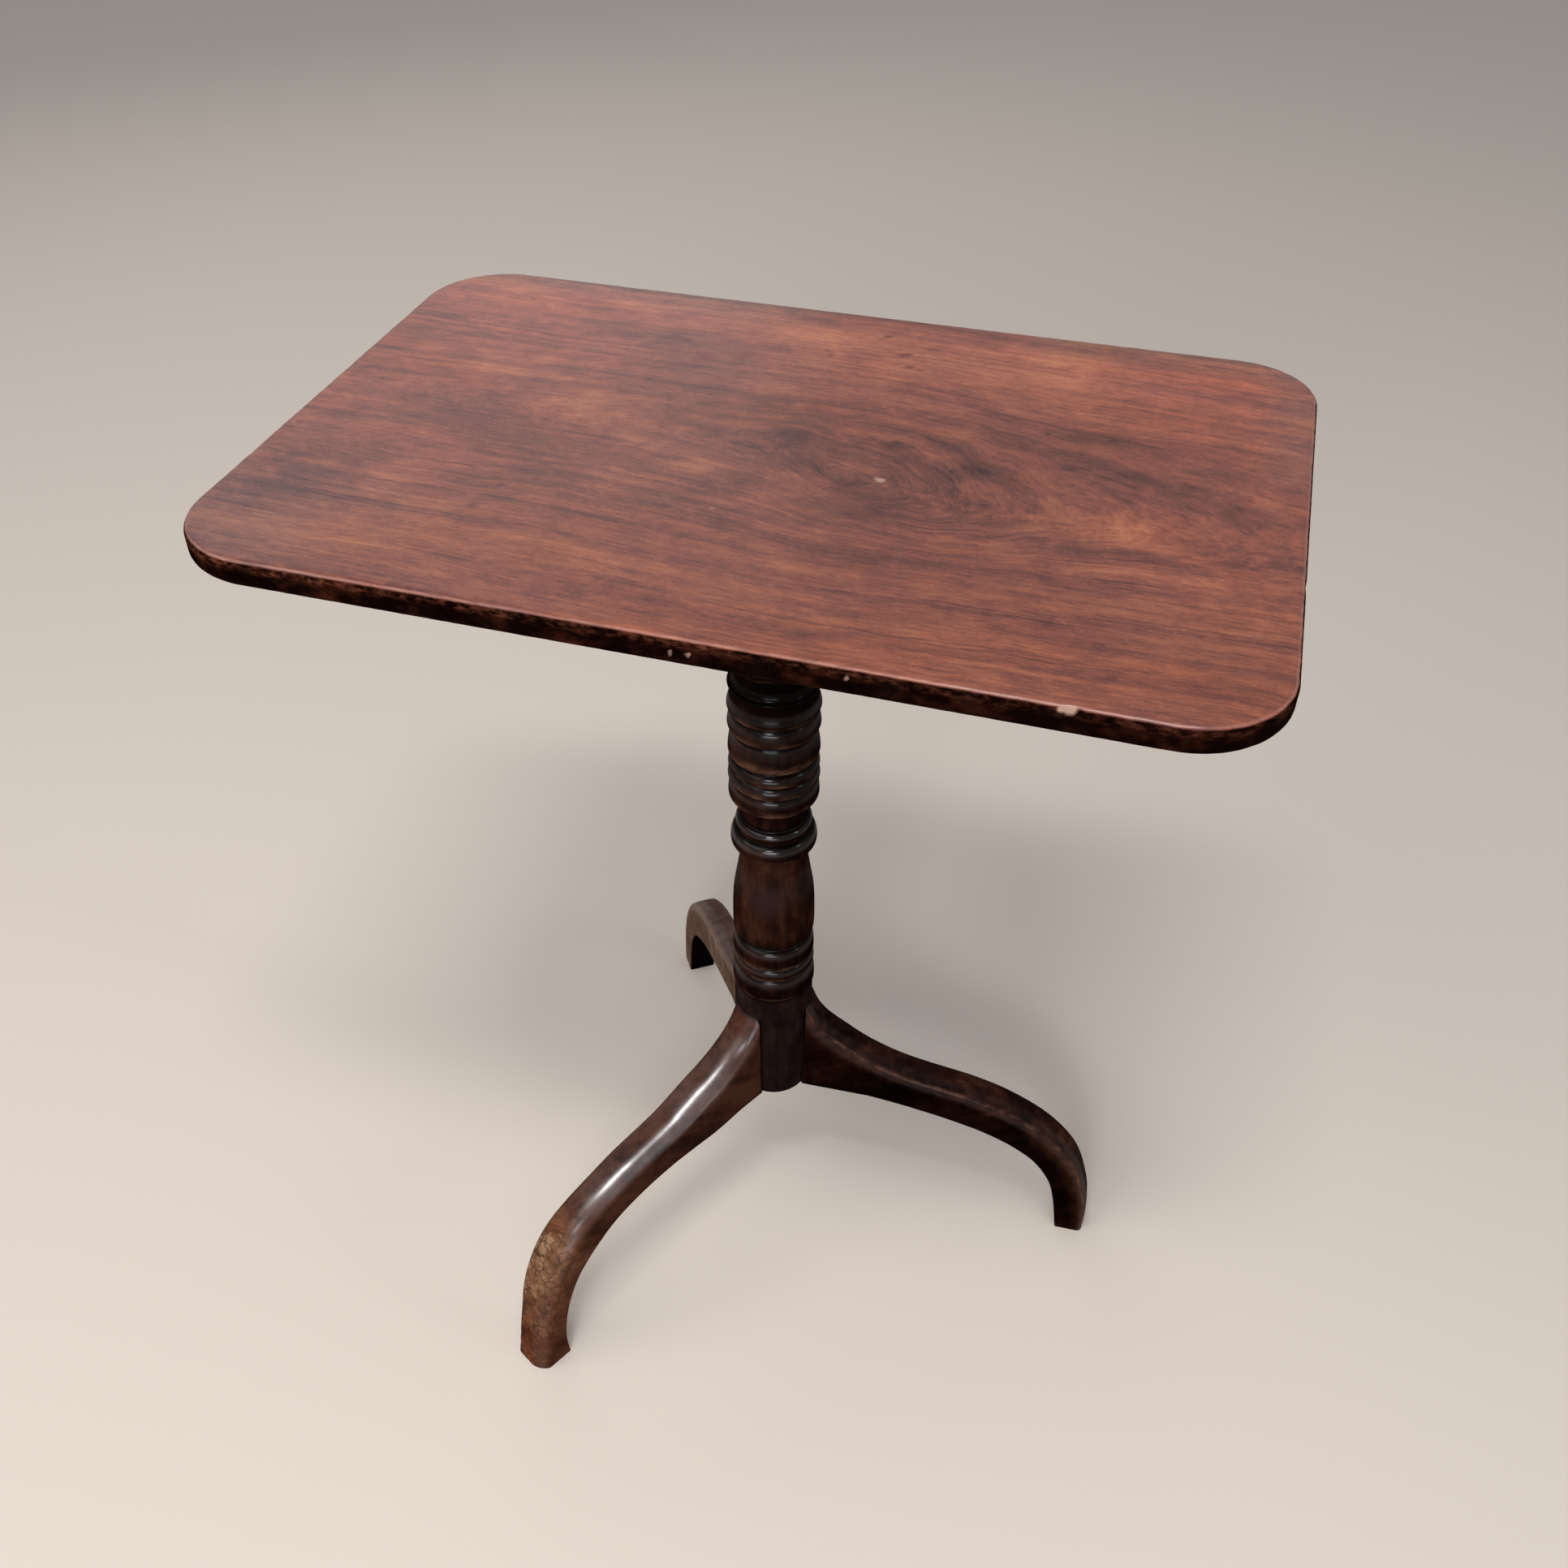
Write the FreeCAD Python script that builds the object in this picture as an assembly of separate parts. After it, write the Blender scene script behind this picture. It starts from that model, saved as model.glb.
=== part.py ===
# Tilt-top tripod table: rectangular one-board top, turned pillar, three swept legs.
# Millimetres, +Z up, +X along the top's long side (the way of the grain), -Y towards
# the front. The work is laid out about the pillar's axis; every node is written out
# moved by SHIFT_X, SHIFT_Y, which puts the origin on the floor at the middle of the
# whole table's footprint.
import math
import os

import FreeCAD
import Part
from FreeCAD import Vector

os.makedirs("parts", exist_ok=True)

# ---------------------------------------------------------------- sizes
HEIGHT = 711.0            # floor to upper face
TOP_L = 613.0             # long side, X
TOP_W = 406.0             # short side, Y
TOP_T = 17.0              # board thickness
TOP_X = 3.5               # the board sits a little to one side of the pillar
TOP_Y = 0.7
TOP_CORNER_R = {(-1, -1): 50.0, (1, -1): 55.0, (-1, 1): 55.0, (1, 1): 51.0}
TOP_ARRIS_R = 5.0         # rounding of the upper edge
TOP_UNDER_R = 4.0         # rounding of the lower edge

UNDER_Z = HEIGHT - TOP_T  # underside of the board

BASE_Z = 130.0            # lower end of the pillar
BASE_R = 31.0             # plain drum that takes the legs
LEG_UNDER_R = 0.9         # rounding of the legs' lower edges
SCRIBE_GAP = 0.05         # leg shoulder to drum
TAIL_Z = 214.0            # top of the dovetail housing
TAIL_DEPTH = 12.0
TAIL_NECK_W = 12.0
TAIL_END_W = 16.0
TAIL_GAP = 0.05

BLOCK_HALF = 56.0
BLOCK_Z0 = 666.0
BLOCK_GAP = 0.1           # block to board
TENON_R = 15.0
PIN_R = 4.5
PIN_RUN = 0.06            # radial running clearance in the bearers
PIVOT_Z = UNDER_Z - 14.0
BACK_R = UNDER_Z - BLOCK_GAP - PIVOT_Z      # rounded back edge of the block, about the pin
PIVOT_Y = BLOCK_HALF - BACK_R

BEARER_GAP = 0.5
BEARER_W = 28.0
BEARER_D = 26.0
BEARER_HALF_L = 175.0
BEARER_FLAT = 96.0
BEARER_TIP_D = 11.0

BRACE_T = 2.4
BRACE_ARM = 78.0
BRACE_W = 18.0

PLATE_T = 1.8             # catch plate
CASE_T = 1.4
BOLT_W = 17.0
BOLT_H = 5.6
BOLT_NOSE_Y = -58.0       # withdrawn
BOLT_TAIL_Y = -112.0
BOLT_Z0 = 684.5
THROW = 8.0

SHIFT_X = -3.5
SHIFT_Y = 12.8


# ---------------------------------------------------------------- helpers
def poly_face(points):
    pts = [Vector(*p) for p in points]
    return Part.Face(Part.makePolygon(pts + [pts[0]]))


def curve(points):
    # one edge through (a, b) pairs in the XZ plane: a line, or an interpolated curve
    pts = [Vector(a, 0, b) for a, b in points]
    if len(pts) == 2:
        return Part.makeLine(pts[0], pts[1])
    c = Part.BSplineCurve()
    c.interpolate(pts)
    return c.toShape()


def turned(segments):
    # solid of revolution about Z from chained (r, z) segments
    edges = [curve(s) for s in segments]
    wire = Part.Wire(Part.__sortEdges__(edges))
    return Part.Face(wire).revolve(Vector(0, 0, 0), Vector(0, 0, 1), 360)


def box(x0, x1, y0, y1, z0, z1):
    return Part.makeBox(x1 - x0, y1 - y0, z1 - z0, Vector(x0, y0, z0))


def wood_screw(head_r, shank_r, length, slot_deg=0.0, blank=False):
    # countersunk slotted screw, head face at z = 0 looking down, point upwards
    head_h = head_r - shank_r
    pts = [(0, 0), (head_r, 0), (head_r, 0.25), (shank_r, 0.25 + head_h),
           (shank_r, length - 4.0), (0.3, length), (0, length)]
    face = poly_face([(r, 0, z) for r, z in pts])
    s = face.revolve(Vector(0, 0, 0), Vector(0, 0, 1), 360)
    if not blank:
        slot = box(-head_r - 1, head_r + 1, -0.4, 0.4, -1, 0.32 * head_r)
        slot.rotate(Vector(0, 0, 0), Vector(0, 0, 1), slot_deg)
        s = s.cut(slot)
    return s


def placed(shape, x, y, z, about=None, deg=0.0):
    s = shape.copy()
    if about is not None:
        s.rotate(Vector(0, 0, 0), about, deg)
    s.translate(Vector(x, y, z))
    return s


def edges_where(shape, test):
    return [e for e in shape.Edges if test(e)]


def mid(e):
    return e.valueAt(0.5 * (e.FirstParameter + e.LastParameter))


def save(shape, node):
    shape = shape.removeSplitter() if shape.ShapeType == "Solid" else shape
    solids = shape.Solids
    out = solids[0] if len(solids) == 1 else Part.makeCompound(solids)
    assert all(s.isValid() for s in solids), node
    out = out.copy()
    out.translate(Vector(SHIFT_X, SHIFT_Y, 0))
    out.exportStep("parts/%s.step" % node)
    b = out.BoundBox
    print("%-18s solids %d vol %10.1f  x %.1f %.1f  y %.1f %.1f  z %.1f %.1f" % (
        node, len(solids), out.Volume, b.XMin, b.XMax, b.YMin, b.YMax, b.ZMin, b.ZMax))


# ---------------------------------------------------------------- pillar
column_profile = [
    [(0, BASE_Z), (25.5, BASE_Z)],
    [(25.5, BASE_Z), (28.6, 131.2), (30.5, 134.2), (BASE_R, 139.5)],
    [(BASE_R, 139.5), (BASE_R, 246.0)],
    [(BASE_R, 246.0), (31.0, 247.8)],
    # three rings over the drum
    [(31.0, 247.8), (31.9, 248.8), (32.2, 251.4), (32.1, 255.5), (31.7, 260.0), (30.9, 264.0), (29.6, 267.0), (28.2, 268.4)],
    [(28.2, 268.4), (28.2, 269.0)],
    [(28.2, 269.0), (30.9, 269.5)],
    [(30.9, 269.5), (31.4, 270.7), (31.4, 273.2), (31.0, 276.0), (30.0, 278.6), (28.3, 280.4)],
    [(28.3, 280.4), (28.3, 281.0)],
    [(28.3, 281.0), (30.8, 281.5)],
    [(30.8, 281.5), (31.3, 283.2), (31.3, 288.0), (31.0, 292.5), (30.3, 296.0), (29.0, 298.6), (26.9, 300.2)],
    [(26.9, 300.2), (26.9, 304.6)],
    # barrel
    [(26.9, 304.6), (30.2, 305.0)],
    [(30.2, 305.0), (30.9, 306.6), (31.25, 311.0), (31.3, 320.0), (31.05, 333.0), (30.5, 344.0),
     (29.7, 351.0), (28.7, 357.5), (27.5, 365.0), (26.3, 372.5), (25.5, 379.0), (25.1, 386.0), (25.3, 391.0),
     (26.2, 394.6)],
    [(26.2, 394.6), (30.9, 395.2)],
    # ring and small bead over the barrel
    [(30.9, 395.2), (31.6, 397.0), (31.8, 400.0), (31.3, 404.0), (29.8, 407.6), (27.4, 409.7)],
    [(27.4, 409.7), (26.3, 410.3)],
    [(26.3, 410.3), (27.5, 411.2), (28.2, 414.0), (27.7, 417.2), (26.0, 419.6)],
    [(26.0, 419.6), (24.5, 420.2)],
    # neck
    [(24.5, 420.2), (24.5, 425.0), (24.7, 430.0), (25.4, 435.0), (26.6, 438.6), (28.6, 440.4)],
    [(28.6, 440.4), (32.0, 440.8)],
    # close rings with sharp lower edges and shoulders that fall back into the grooves
    [(32.0, 440.8), (32.6, 442.2), (32.6, 445.2), (32.3, 449.0), (31.5, 452.6), (30.2, 455.2), (29.0, 456.2)],
    [(29.0, 456.2), (29.0, 456.9)],
    [(29.0, 456.9), (32.2, 457.4)],
    [(32.2, 457.4), (32.8, 458.7), (32.7, 460.8), (31.9, 463.4), (30.6, 465.6), (29.1, 466.8)],
    [(29.1, 466.8), (29.1, 467.5)],
    [(29.1, 467.5), (31.9, 468.1)],
    [(31.9, 468.1), (32.5, 469.4), (32.3, 471.8), (31.4, 474.2), (30.0, 476.1), (28.8, 477.0)],
    [(28.8, 477.0), (28.8, 479.6)],
    [(28.8, 479.6), (31.8, 480.2)],
    [(31.8, 480.2), (32.5, 481.9), (32.4, 486.0), (31.9, 490.5), (31.2, 494.6), (30.4, 498.4), (29.2, 501.6)],
    [(29.2, 501.6), (29.2, 502.4)],
    [(29.2, 502.4), (32.0, 503.2)],
    [(32.0, 503.2), (32.7, 504.9), (32.5, 508.0), (31.8, 511.6), (30.8, 514.6), (29.4, 516.6)],
    [(29.4, 516.6), (29.4, 517.6)],
    [(29.4, 517.6), (32.0, 518.8)],
    [(32.0, 518.8), (32.9, 521.0), (32.5, 524.0), (31.4, 528.0), (30.8, 532.0), (31.3, 536.5), (32.2, 539.0)],
    [(32.2, 539.0), (32.4, 540.2)],
    [(32.4, 540.2), (30.0, 541.2), (28.3, 545.0), (27.9, 550.0), (28.7, 555.0), (30.8, 557.6)],
    [(30.8, 557.6), (32.6, 558.2)],
    # plain length and collar, behind the edge of the top
    [(32.6, 558.2), (33.0, 560.0), (32.9, 566.0), (32.2, 585.0), (31.0, 610.0), (29.4, 632.0), (28.6, 642.0)],
    [(28.6, 642.0), (30.8, 643.4)],
    [(30.8, 643.4), (33.0, 645.4), (33.6, 648.6), (32.8, 651.6), (30.9, 653.0)],
    [(30.9, 653.0), (30.9, 655.6)],
    [(30.9, 655.6), (33.6, 658.4), (34.4, 662.0), (34.2, BLOCK_Z0)],
    [(34.2, BLOCK_Z0), (TENON_R, BLOCK_Z0)],
    [(TENON_R, BLOCK_Z0), (TENON_R, UNDER_Z - BLOCK_GAP)],
    [(TENON_R, UNDER_Z - BLOCK_GAP), (0, UNDER_Z - BLOCK_GAP)],
    [(0, UNDER_Z - BLOCK_GAP), (0, BASE_Z)],
]
column = turned(column_profile)

# wedge across the block's grain, in a saw kerf down the tenon
WEDGE_Z0 = 671.0
wedge_face = poly_face([(0, -1.0, WEDGE_Z0), (0, 1.0, WEDGE_Z0),
                        (0, 2.3, UNDER_Z - BLOCK_GAP), (0, -2.3, UNDER_Z - BLOCK_GAP)])
wedge = wedge_face.extrude(Vector(32, 0, 0))
wedge.translate(Vector(-16, 0, 0))
wedge = wedge.common(Part.makeCylinder(TENON_R, 60, Vector(0, 0, 650)))
column = column.cut(wedge)

# ---------------------------------------------------------------- legs
# each leg is sawn by eye from its own line: upper and lower edge as (radius, z)
LEGS = {
    "leg_right": dict(
        az=3.4, t=26.0, arris=4.6,
        upper=[(29.4, 225.4), (34.0, 213.4), (40.3, 203.5), (49.0, 194.6), (59.0, 187.4), (70.5, 179.2),
               (82.9, 172.1), (97.5, 165.6), (113.4, 160.4), (130.5, 156.6), (147.7, 153.5), (163.5, 150.4),
               (178.3, 146.4), (193.6, 141.0), (208.1, 134.0), (222.0, 125.8), (234.3, 116.3), (246.6, 103.6),
               (257.0, 89.1), (265.0, 73.2), (270.7, 56.9), (274.6, 41.0), (276.6, 25.3), (276.9, 12.0),
               (276.6, 0.0)],
        lower=[(253.2, 0.0), (250.6, 18.1), (247.2, 38.1), (240.6, 61.6), (226.0, 84.0), (206.4, 98.8),
               (183.2, 109.7), (153.9, 118.2), (128.0, 123.6), (104.0, 127.6), (84.0, BASE_Z)]),
    "leg_rear": dict(
        az=123.9, t=24.5, arris=5.0,
        upper=[(29.4, 225.4), (33.8, 213.4), (39.8, 203.5), (47.8, 194.8), (57.5, 187.4), (68.4, 179.3),
               (80.1, 172.0), (94.0, 165.2), (109.0, 159.8), (125.2, 155.6), (141.4, 152.3), (156.4, 148.9),
               (170.3, 144.7), (184.8, 139.1), (198.5, 132.0), (211.6, 123.8), (223.3, 114.3), (235.0, 101.6),
               (244.8, 87.1), (252.4, 71.4), (257.8, 55.5), (261.4, 40.0), (263.3, 24.9), (264.4, 12.0),
               (264.8, 0.0)],
        lower=[(241.8, 0.0), (238.6, 17.2), (235.1, 35.0), (228.6, 55.8), (215.5, 76.1), (196.9, 90.9),
               (175.0, 102.6), (147.3, 112.6), (122.0, 119.8), (100.0, 125.6), (84.0, BASE_Z)]),
    "leg_front_left": dict(
        az=241.9, t=27.0, arris=6.2,
        upper=[(29.4, 225.4), (35.6, 215.0), (43.3, 206.1), (52.4, 199.0), (62.7, 193.1), (75.0, 187.8),
               (87.7, 183.5), (102.0, 178.0), (116.8, 172.6), (133.6, 168.6), (150.5, 165.5), (167.0, 162.4),
               (182.5, 158.0), (199.2, 152.4), (215.0, 145.1), (229.4, 135.6), (241.7, 123.1), (252.0, 107.8),
               (259.9, 90.6), (264.9, 73.6), (268.3, 56.1), (271.4, 40.2), (274.3, 24.8), (276.8, 12.0),
               (279.0, 0.0)],
        lower=[(248.9, 0.0), (250.2, 18.1), (248.7, 38.5), (242.5, 63.6), (230.6, 87.7), (211.9, 106.3),
               (188.2, 121.2), (156.6, 129.4), (128.0, 132.0), (104.0, 131.2), (84.0, BASE_Z)]),
}


def leg_solid(upper, lower, t, arris):
    edges = [curve(upper), curve([upper[-1], lower[0]]), curve(lower),
             curve([lower[-1], (20.0, BASE_Z)]), curve([(20.0, BASE_Z), (20.0, upper[0][1])]),
             curve([(20.0, upper[0][1]), upper[0]])]
    face = Part.Face(Part.Wire(edges))
    leg = face.extrude(Vector(0, t, 0))
    leg.translate(Vector(0, -t / 2, 0))
    long = [e for e in leg.Edges if abs(abs(mid(e).y) - t / 2) < 1e-6 and e.Length > 310]
    assert len(long) == 2, [round(e.Length) for e in leg.Edges]
    leg = leg.makeFillet(arris, long)
    low = [e for e in leg.Edges if abs(abs(mid(e).y) - t / 2) < 1e-4
           and 190 < e.Length < 300 and mid(e).z < 128]
    try:
        worn = leg.makeFillet(LEG_UNDER_R, low)
        if worn.isValid() and len(low) == 2:
            leg = worn
        else:
            print("under-edge rounding left off", len(low))
    except Exception:
        print("under-edge rounding left off")
    # shoulder scribed to the drum
    leg = leg.cut(Part.makeCylinder(BASE_R + SCRIBE_GAP, 140, Vector(0, 0, 110)))
    # sliding dovetail
    g = TAIL_GAP
    r_in = BASE_R - TAIL_DEPTH
    tail = poly_face([(BASE_R + 2, -TAIL_NECK_W / 2 + g - 0.3, 0), (BASE_R + 2, TAIL_NECK_W / 2 - g + 0.3, 0),
                      (BASE_R - 1, TAIL_NECK_W / 2 - g, 0), (r_in + g, TAIL_END_W / 2 - g, 0),
                      (r_in + g, -TAIL_END_W / 2 + g, 0), (BASE_R - 1, -TAIL_NECK_W / 2 + g, 0)])
    tail = tail.extrude(Vector(0, 0, TAIL_Z - 0.2 - BASE_Z - 0.2))
    tail.translate(Vector(0, 0, BASE_Z + 0.2))
    return leg.fuse(tail).removeSplitter()


def tail_housing():
    r_in = BASE_R - TAIL_DEPTH
    s = poly_face([(BASE_R + 3, -TAIL_NECK_W / 2, 0), (BASE_R + 3, TAIL_NECK_W / 2, 0),
                   (BASE_R - 1, TAIL_NECK_W / 2, 0), (r_in, TAIL_END_W / 2, 0),
                   (r_in, -TAIL_END_W / 2, 0), (BASE_R - 1, -TAIL_NECK_W / 2, 0)])
    s = s.extrude(Vector(0, 0, TAIL_Z - BASE_Z + 2))
    s.translate(Vector(0, 0, BASE_Z - 2))
    return s


legs = {}
Zax = Vector(0, 0, 1)
for name, d in LEGS.items():
    s = leg_solid(d["upper"], d["lower"], d["t"], d["arris"])
    s.rotate(Vector(0, 0, 0), Zax, d["az"])
    legs[name] = s
    h = tail_housing()
    h.rotate(Vector(0, 0, 0), Zax, d["az"])
    column = column.cut(h)

# ---------------------------------------------------------------- brace under the pillar
hub = Part.makeCylinder(20.0, BRACE_T, Vector(0, 0, BASE_Z - 0.1 - BRACE_T))
brace = hub
brace_screws, brace_blanks = [], []
seat = BASE_Z - 0.1 - BRACE_T
for i, d in enumerate(LEGS.values()):
    az = d["az"]
    arm = box(0, BRACE_ARM - BRACE_W / 2, -BRACE_W / 2, BRACE_W / 2, seat, seat + BRACE_T)
    arm = arm.fuse(Part.makeCylinder(BRACE_W / 2, BRACE_T, Vector(BRACE_ARM - BRACE_W / 2, 0, seat)))
    arm.rotate(Vector(0, 0, 0), Zax, az)
    brace = brace.fuse(arm)
    for k, r in enumerate((46.0, 68.0)):
        x, y = r * math.cos(math.radians(az)), r * math.sin(math.radians(az))
        brace_screws.append(placed(wood_screw(4.2, 2.1, 24.0, 35 + 50 * i + 70 * k), x, y, seat))
        brace_blanks.append(placed(wood_screw(4.2, 2.1, 24.0, blank=True), x, y, seat))
brace_screws.append(placed(wood_screw(4.2, 2.1, 24.0, 20), 0, 0, seat))
brace_blanks.append(placed(wood_screw(4.2, 2.1, 24.0, blank=True), 0, 0, seat))
brace = brace.removeSplitter()
for b in brace_blanks:
    brace = brace.cut(b)
    column = column.cut(b)
    for n in legs:
        if legs[n].common(b).Volume > 0.01:
            legs[n] = legs[n].cut(b)

# ---------------------------------------------------------------- block and pins
zt = UNDER_Z - BLOCK_GAP
block_edges = [
    Part.makeLine(Vector(0, -BLOCK_HALF, BLOCK_Z0), Vector(0, -BLOCK_HALF, zt)),
    Part.makeLine(Vector(0, -BLOCK_HALF, zt), Vector(0, PIVOT_Y, zt)),
    Part.Arc(Vector(0, PIVOT_Y, zt),
             Vector(0, PIVOT_Y + BACK_R * math.sin(math.radians(45)), PIVOT_Z + BACK_R * math.cos(math.radians(45))),
             Vector(0, BLOCK_HALF, PIVOT_Z)).toShape(),
    Part.makeLine(Vector(0, BLOCK_HALF, PIVOT_Z), Vector(0, BLOCK_HALF, BLOCK_Z0)),
    Part.makeLine(Vector(0, BLOCK_HALF, BLOCK_Z0), Vector(0, -BLOCK_HALF, BLOCK_Z0)),
]
block = Part.Face(Part.Wire(block_edges)).extrude(Vector(2 * BLOCK_HALF, 0, 0))
block.translate(Vector(-BLOCK_HALF, 0, 0))
low = edges_where(block, lambda e: abs(mid(e).z - BLOCK_Z0) < 1e-6)
block = block.makeChamfer(3.0, low)
block = block.cut(Part.makeCylinder(TENON_R, 60, Vector(0, 0, 650)))


def pin(side):
    x0, x1 = 33.0, BLOCK_HALF + BEARER_GAP + BEARER_W - 1.0
    face = poly_face([(0, 0, x0), (PIN_R - 0.8, 0, x0), (PIN_R, 0, x0 + 0.8), (PIN_R, 0, x1 - 0.8),
                      (PIN_R - 0.8, 0, x1), (0, 0, x1)])
    s = face.revolve(Vector(0, 0, 0), Vector(0, 0, 1), 360)
    s.rotate(Vector(0, 0, 0), Vector(0, 1, 0), 90 * side)
    s.translate(Vector(0, PIVOT_Y, PIVOT_Z))
    return s


pin_l, pin_r = pin(-1), pin(1)
for side in (-1, 1):
    s = Part.makeCylinder(PIN_R, 30, Vector(side * 33.0, PIVOT_Y, PIVOT_Z), Vector(side, 0, 0))
    block = block.cut(s)

# ---------------------------------------------------------------- strike in the block
MORT_X = BOLT_W / 2 + 0.3
MORT_Z0, MORT_Z1 = BOLT_Z0 - 0.4, BOLT_Z0 + BOLT_H + 0.4
strike_body = box(-18, 18, -BLOCK_HALF, -BLOCK_HALF + 1.5, 670.5, 692.0)
strike_body = strike_body.makeFillet(2.0, edges_where(
    strike_body, lambda e: abs(mid(e).y + BLOCK_HALF - 0.75) < 1e-6))
block = block.cut(strike_body)
mortise = box(-MORT_X, MORT_X, -BLOCK_HALF - 1, -BLOCK_HALF + 10.5, MORT_Z0, MORT_Z1)
block = block.cut(mortise)
strike = strike_body.cut(mortise)
keeper_screws = []
for i, sx in enumerate((-1, 1)):
    # head face looks to -Y, point towards +Y
    sc = placed(wood_screw(3.1, 1.6, 15.0, 25 + 60 * i), sx * 12.8, -BLOCK_HALF, 676.2, Vector(1, 0, 0), -90)
    bl = placed(wood_screw(3.1, 1.6, 15.0, blank=True), sx * 12.8, -BLOCK_HALF, 676.2, Vector(1, 0, 0), -90)
    keeper_screws.append(sc)
    strike = strike.cut(bl)
    block = block.cut(bl)

# ---------------------------------------------------------------- top board
top = box(TOP_X - TOP_L / 2, TOP_X + TOP_L / 2, TOP_Y - TOP_W / 2, TOP_Y + TOP_W / 2, UNDER_Z, HEIGHT)
for (sx, sy), r in TOP_CORNER_R.items():
    top = top.makeFillet(r, edges_where(
        top, lambda e: abs(mid(e).z - UNDER_Z - TOP_T / 2) < 1e-6
        and abs(mid(e).x - TOP_X - sx * TOP_L / 2) < 1e-6 and abs(mid(e).y - TOP_Y - sy * TOP_W / 2) < 1e-6))
top = top.makeFillet(TOP_ARRIS_R, edges_where(top, lambda e: abs(mid(e).z - HEIGHT) < 1e-6))
top = top.makeFillet(TOP_UNDER_R, edges_where(top, lambda e: abs(mid(e).z - UNDER_Z) < 1e-6))


# ---------------------------------------------------------------- bearers
def bearer(side):
    x0 = BLOCK_HALF + BEARER_GAP
    zb = UNDER_Z - BEARER_D
    ztip = UNDER_Z - BEARER_TIP_D
    f = poly_face([(0, -BEARER_HALF_L, UNDER_Z), (0, BEARER_HALF_L, UNDER_Z), (0, BEARER_HALF_L, ztip),
                   (0, BEARER_FLAT, zb), (0, -BEARER_FLAT, zb), (0, -BEARER_HALF_L, ztip)])
    s = f.extrude(Vector(BEARER_W, 0, 0))
    s.translate(Vector(x0, 0, 0))
    s = s.makeChamfer(1.6, edges_where(s, lambda e: mid(e).z < UNDER_Z - 5 and abs(mid(e).x - x0 - BEARER_W / 2) > 1))
    if side < 0:
        s = s.mirror(Vector(0, 0, 0), Vector(1, 0, 0))
    hole = Part.makeCylinder(PIN_R + PIN_RUN, 60, Vector(side * 40.0, PIVOT_Y, PIVOT_Z), Vector(side, 0, 0))
    return s.cut(hole)


bearer_l, bearer_r = bearer(-1), bearer(1)
bearer_screws = []
for i, (y, seat_z, length) in enumerate(((-140.0, 678.0, 26.0), (-62.0, 672.0, 32.0), (84.0, 672.0, 32.0),
                                         (140.0, 678.0, 26.0))):
    for j, side in enumerate((-1, 1)):
        x = side * (BLOCK_HALF + BEARER_GAP + BEARER_W / 2)
        sc = placed(wood_screw(4.2, 2.1, length, 17 + 41 * i + 63 * j), x, y, seat_z)
        bl = placed(wood_screw(4.2, 2.1, length, blank=True), x, y, seat_z)
        well = Part.makeCylinder(4.8, 30, Vector(x, y, seat_z - 30))
        bearer_screws.append(sc)
        top = top.cut(bl)
        if side < 0:
            bearer_l = bearer_l.cut(bl).cut(well)
        else:
            bearer_r = bearer_r.cut(bl).cut(well)

# ---------------------------------------------------------------- slide catch
pz0 = UNDER_Z - PLATE_T
plate = box(-22, 22, -118, -60, pz0, UNDER_Z)
plate = plate.makeFillet(5.0, edges_where(plate, lambda e: abs(mid(e).z - pz0 - PLATE_T / 2) < 1e-6))
plate = plate.makeChamfer(0.5, edges_where(plate, lambda e: abs(mid(e).z - pz0) < 1e-6))
catch_screws = []
for i, (x, y) in enumerate(((-16.6, -112.0), (16.6, -112.0), (-16.6, -66.0), (16.6, -66.0))):
    sc = placed(wood_screw(3.1, 1.6, 13.0, 12 + 47 * i), x, y, pz0)
    bl = placed(wood_screw(3.1, 1.6, 13.0, blank=True), x, y, pz0)
    catch_screws.append(sc)
    plate = plate.cut(bl)
    top = top.cut(bl)

cx = BOLT_W / 2 + 0.1 + CASE_T
cz0 = BOLT_Z0 - 0.1 - CASE_T
case = box(-cx, cx, -106, -68, cz0, pz0)
case = case.makeFillet(1.2, edges_where(case, lambda e: abs(mid(e).z - cz0) < 1e-6 and abs(abs(mid(e).x) - cx) < 1e-6))
case = case.cut(box(-BOLT_W / 2 - 0.1, BOLT_W / 2 + 0.1, -120, -50, BOLT_Z0 - 0.1, pz0 + 1))
KNOB_Y = -94.0
SHANK_R = 2.4
slot = box(-SHANK_R - 0.2, SHANK_R + 0.2, KNOB_Y, KNOB_Y + THROW, cz0 - 1, BOLT_Z0)
slot = slot.fuse(Part.makeCylinder(SHANK_R + 0.2, 5, Vector(0, KNOB_Y, cz0 - 1)))
slot = slot.fuse(Part.makeCylinder(SHANK_R + 0.2, 5, Vector(0, KNOB_Y + THROW, cz0 - 1)))
case = case.cut(slot)
# two side lugs folded out against the plate
for side in (-1, 1):
    lug = box(min(side * cx, side * (cx + 4)), max(side * cx, side * (cx + 4)), -96, -78, pz0 - CASE_T, pz0)
    case = case.fuse(lug)
case = case.removeSplitter()

bolt = box(-BOLT_W / 2, BOLT_W / 2, BOLT_TAIL_Y, BOLT_NOSE_Y, BOLT_Z0, BOLT_Z0 + BOLT_H)
bolt = bolt.makeFillet(3.0, edges_where(bolt, lambda e: abs(mid(e).z - BOLT_Z0 - BOLT_H / 2) < 1e-6
                                        and abs(mid(e).y - BOLT_NOSE_Y) < 1e-6))
bolt = bolt.makeFillet(1.5, edges_where(bolt, lambda e: abs(mid(e).z - BOLT_Z0 - BOLT_H / 2) < 1e-6
                                        and abs(mid(e).y - BOLT_TAIL_Y) < 1e-6))
bolt = bolt.makeChamfer(0.4, edges_where(bolt, lambda e: abs(mid(e).z - BOLT_Z0) < 1e-6
                                         or abs(mid(e).z - BOLT_Z0 - BOLT_H) < 1e-6))
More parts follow.
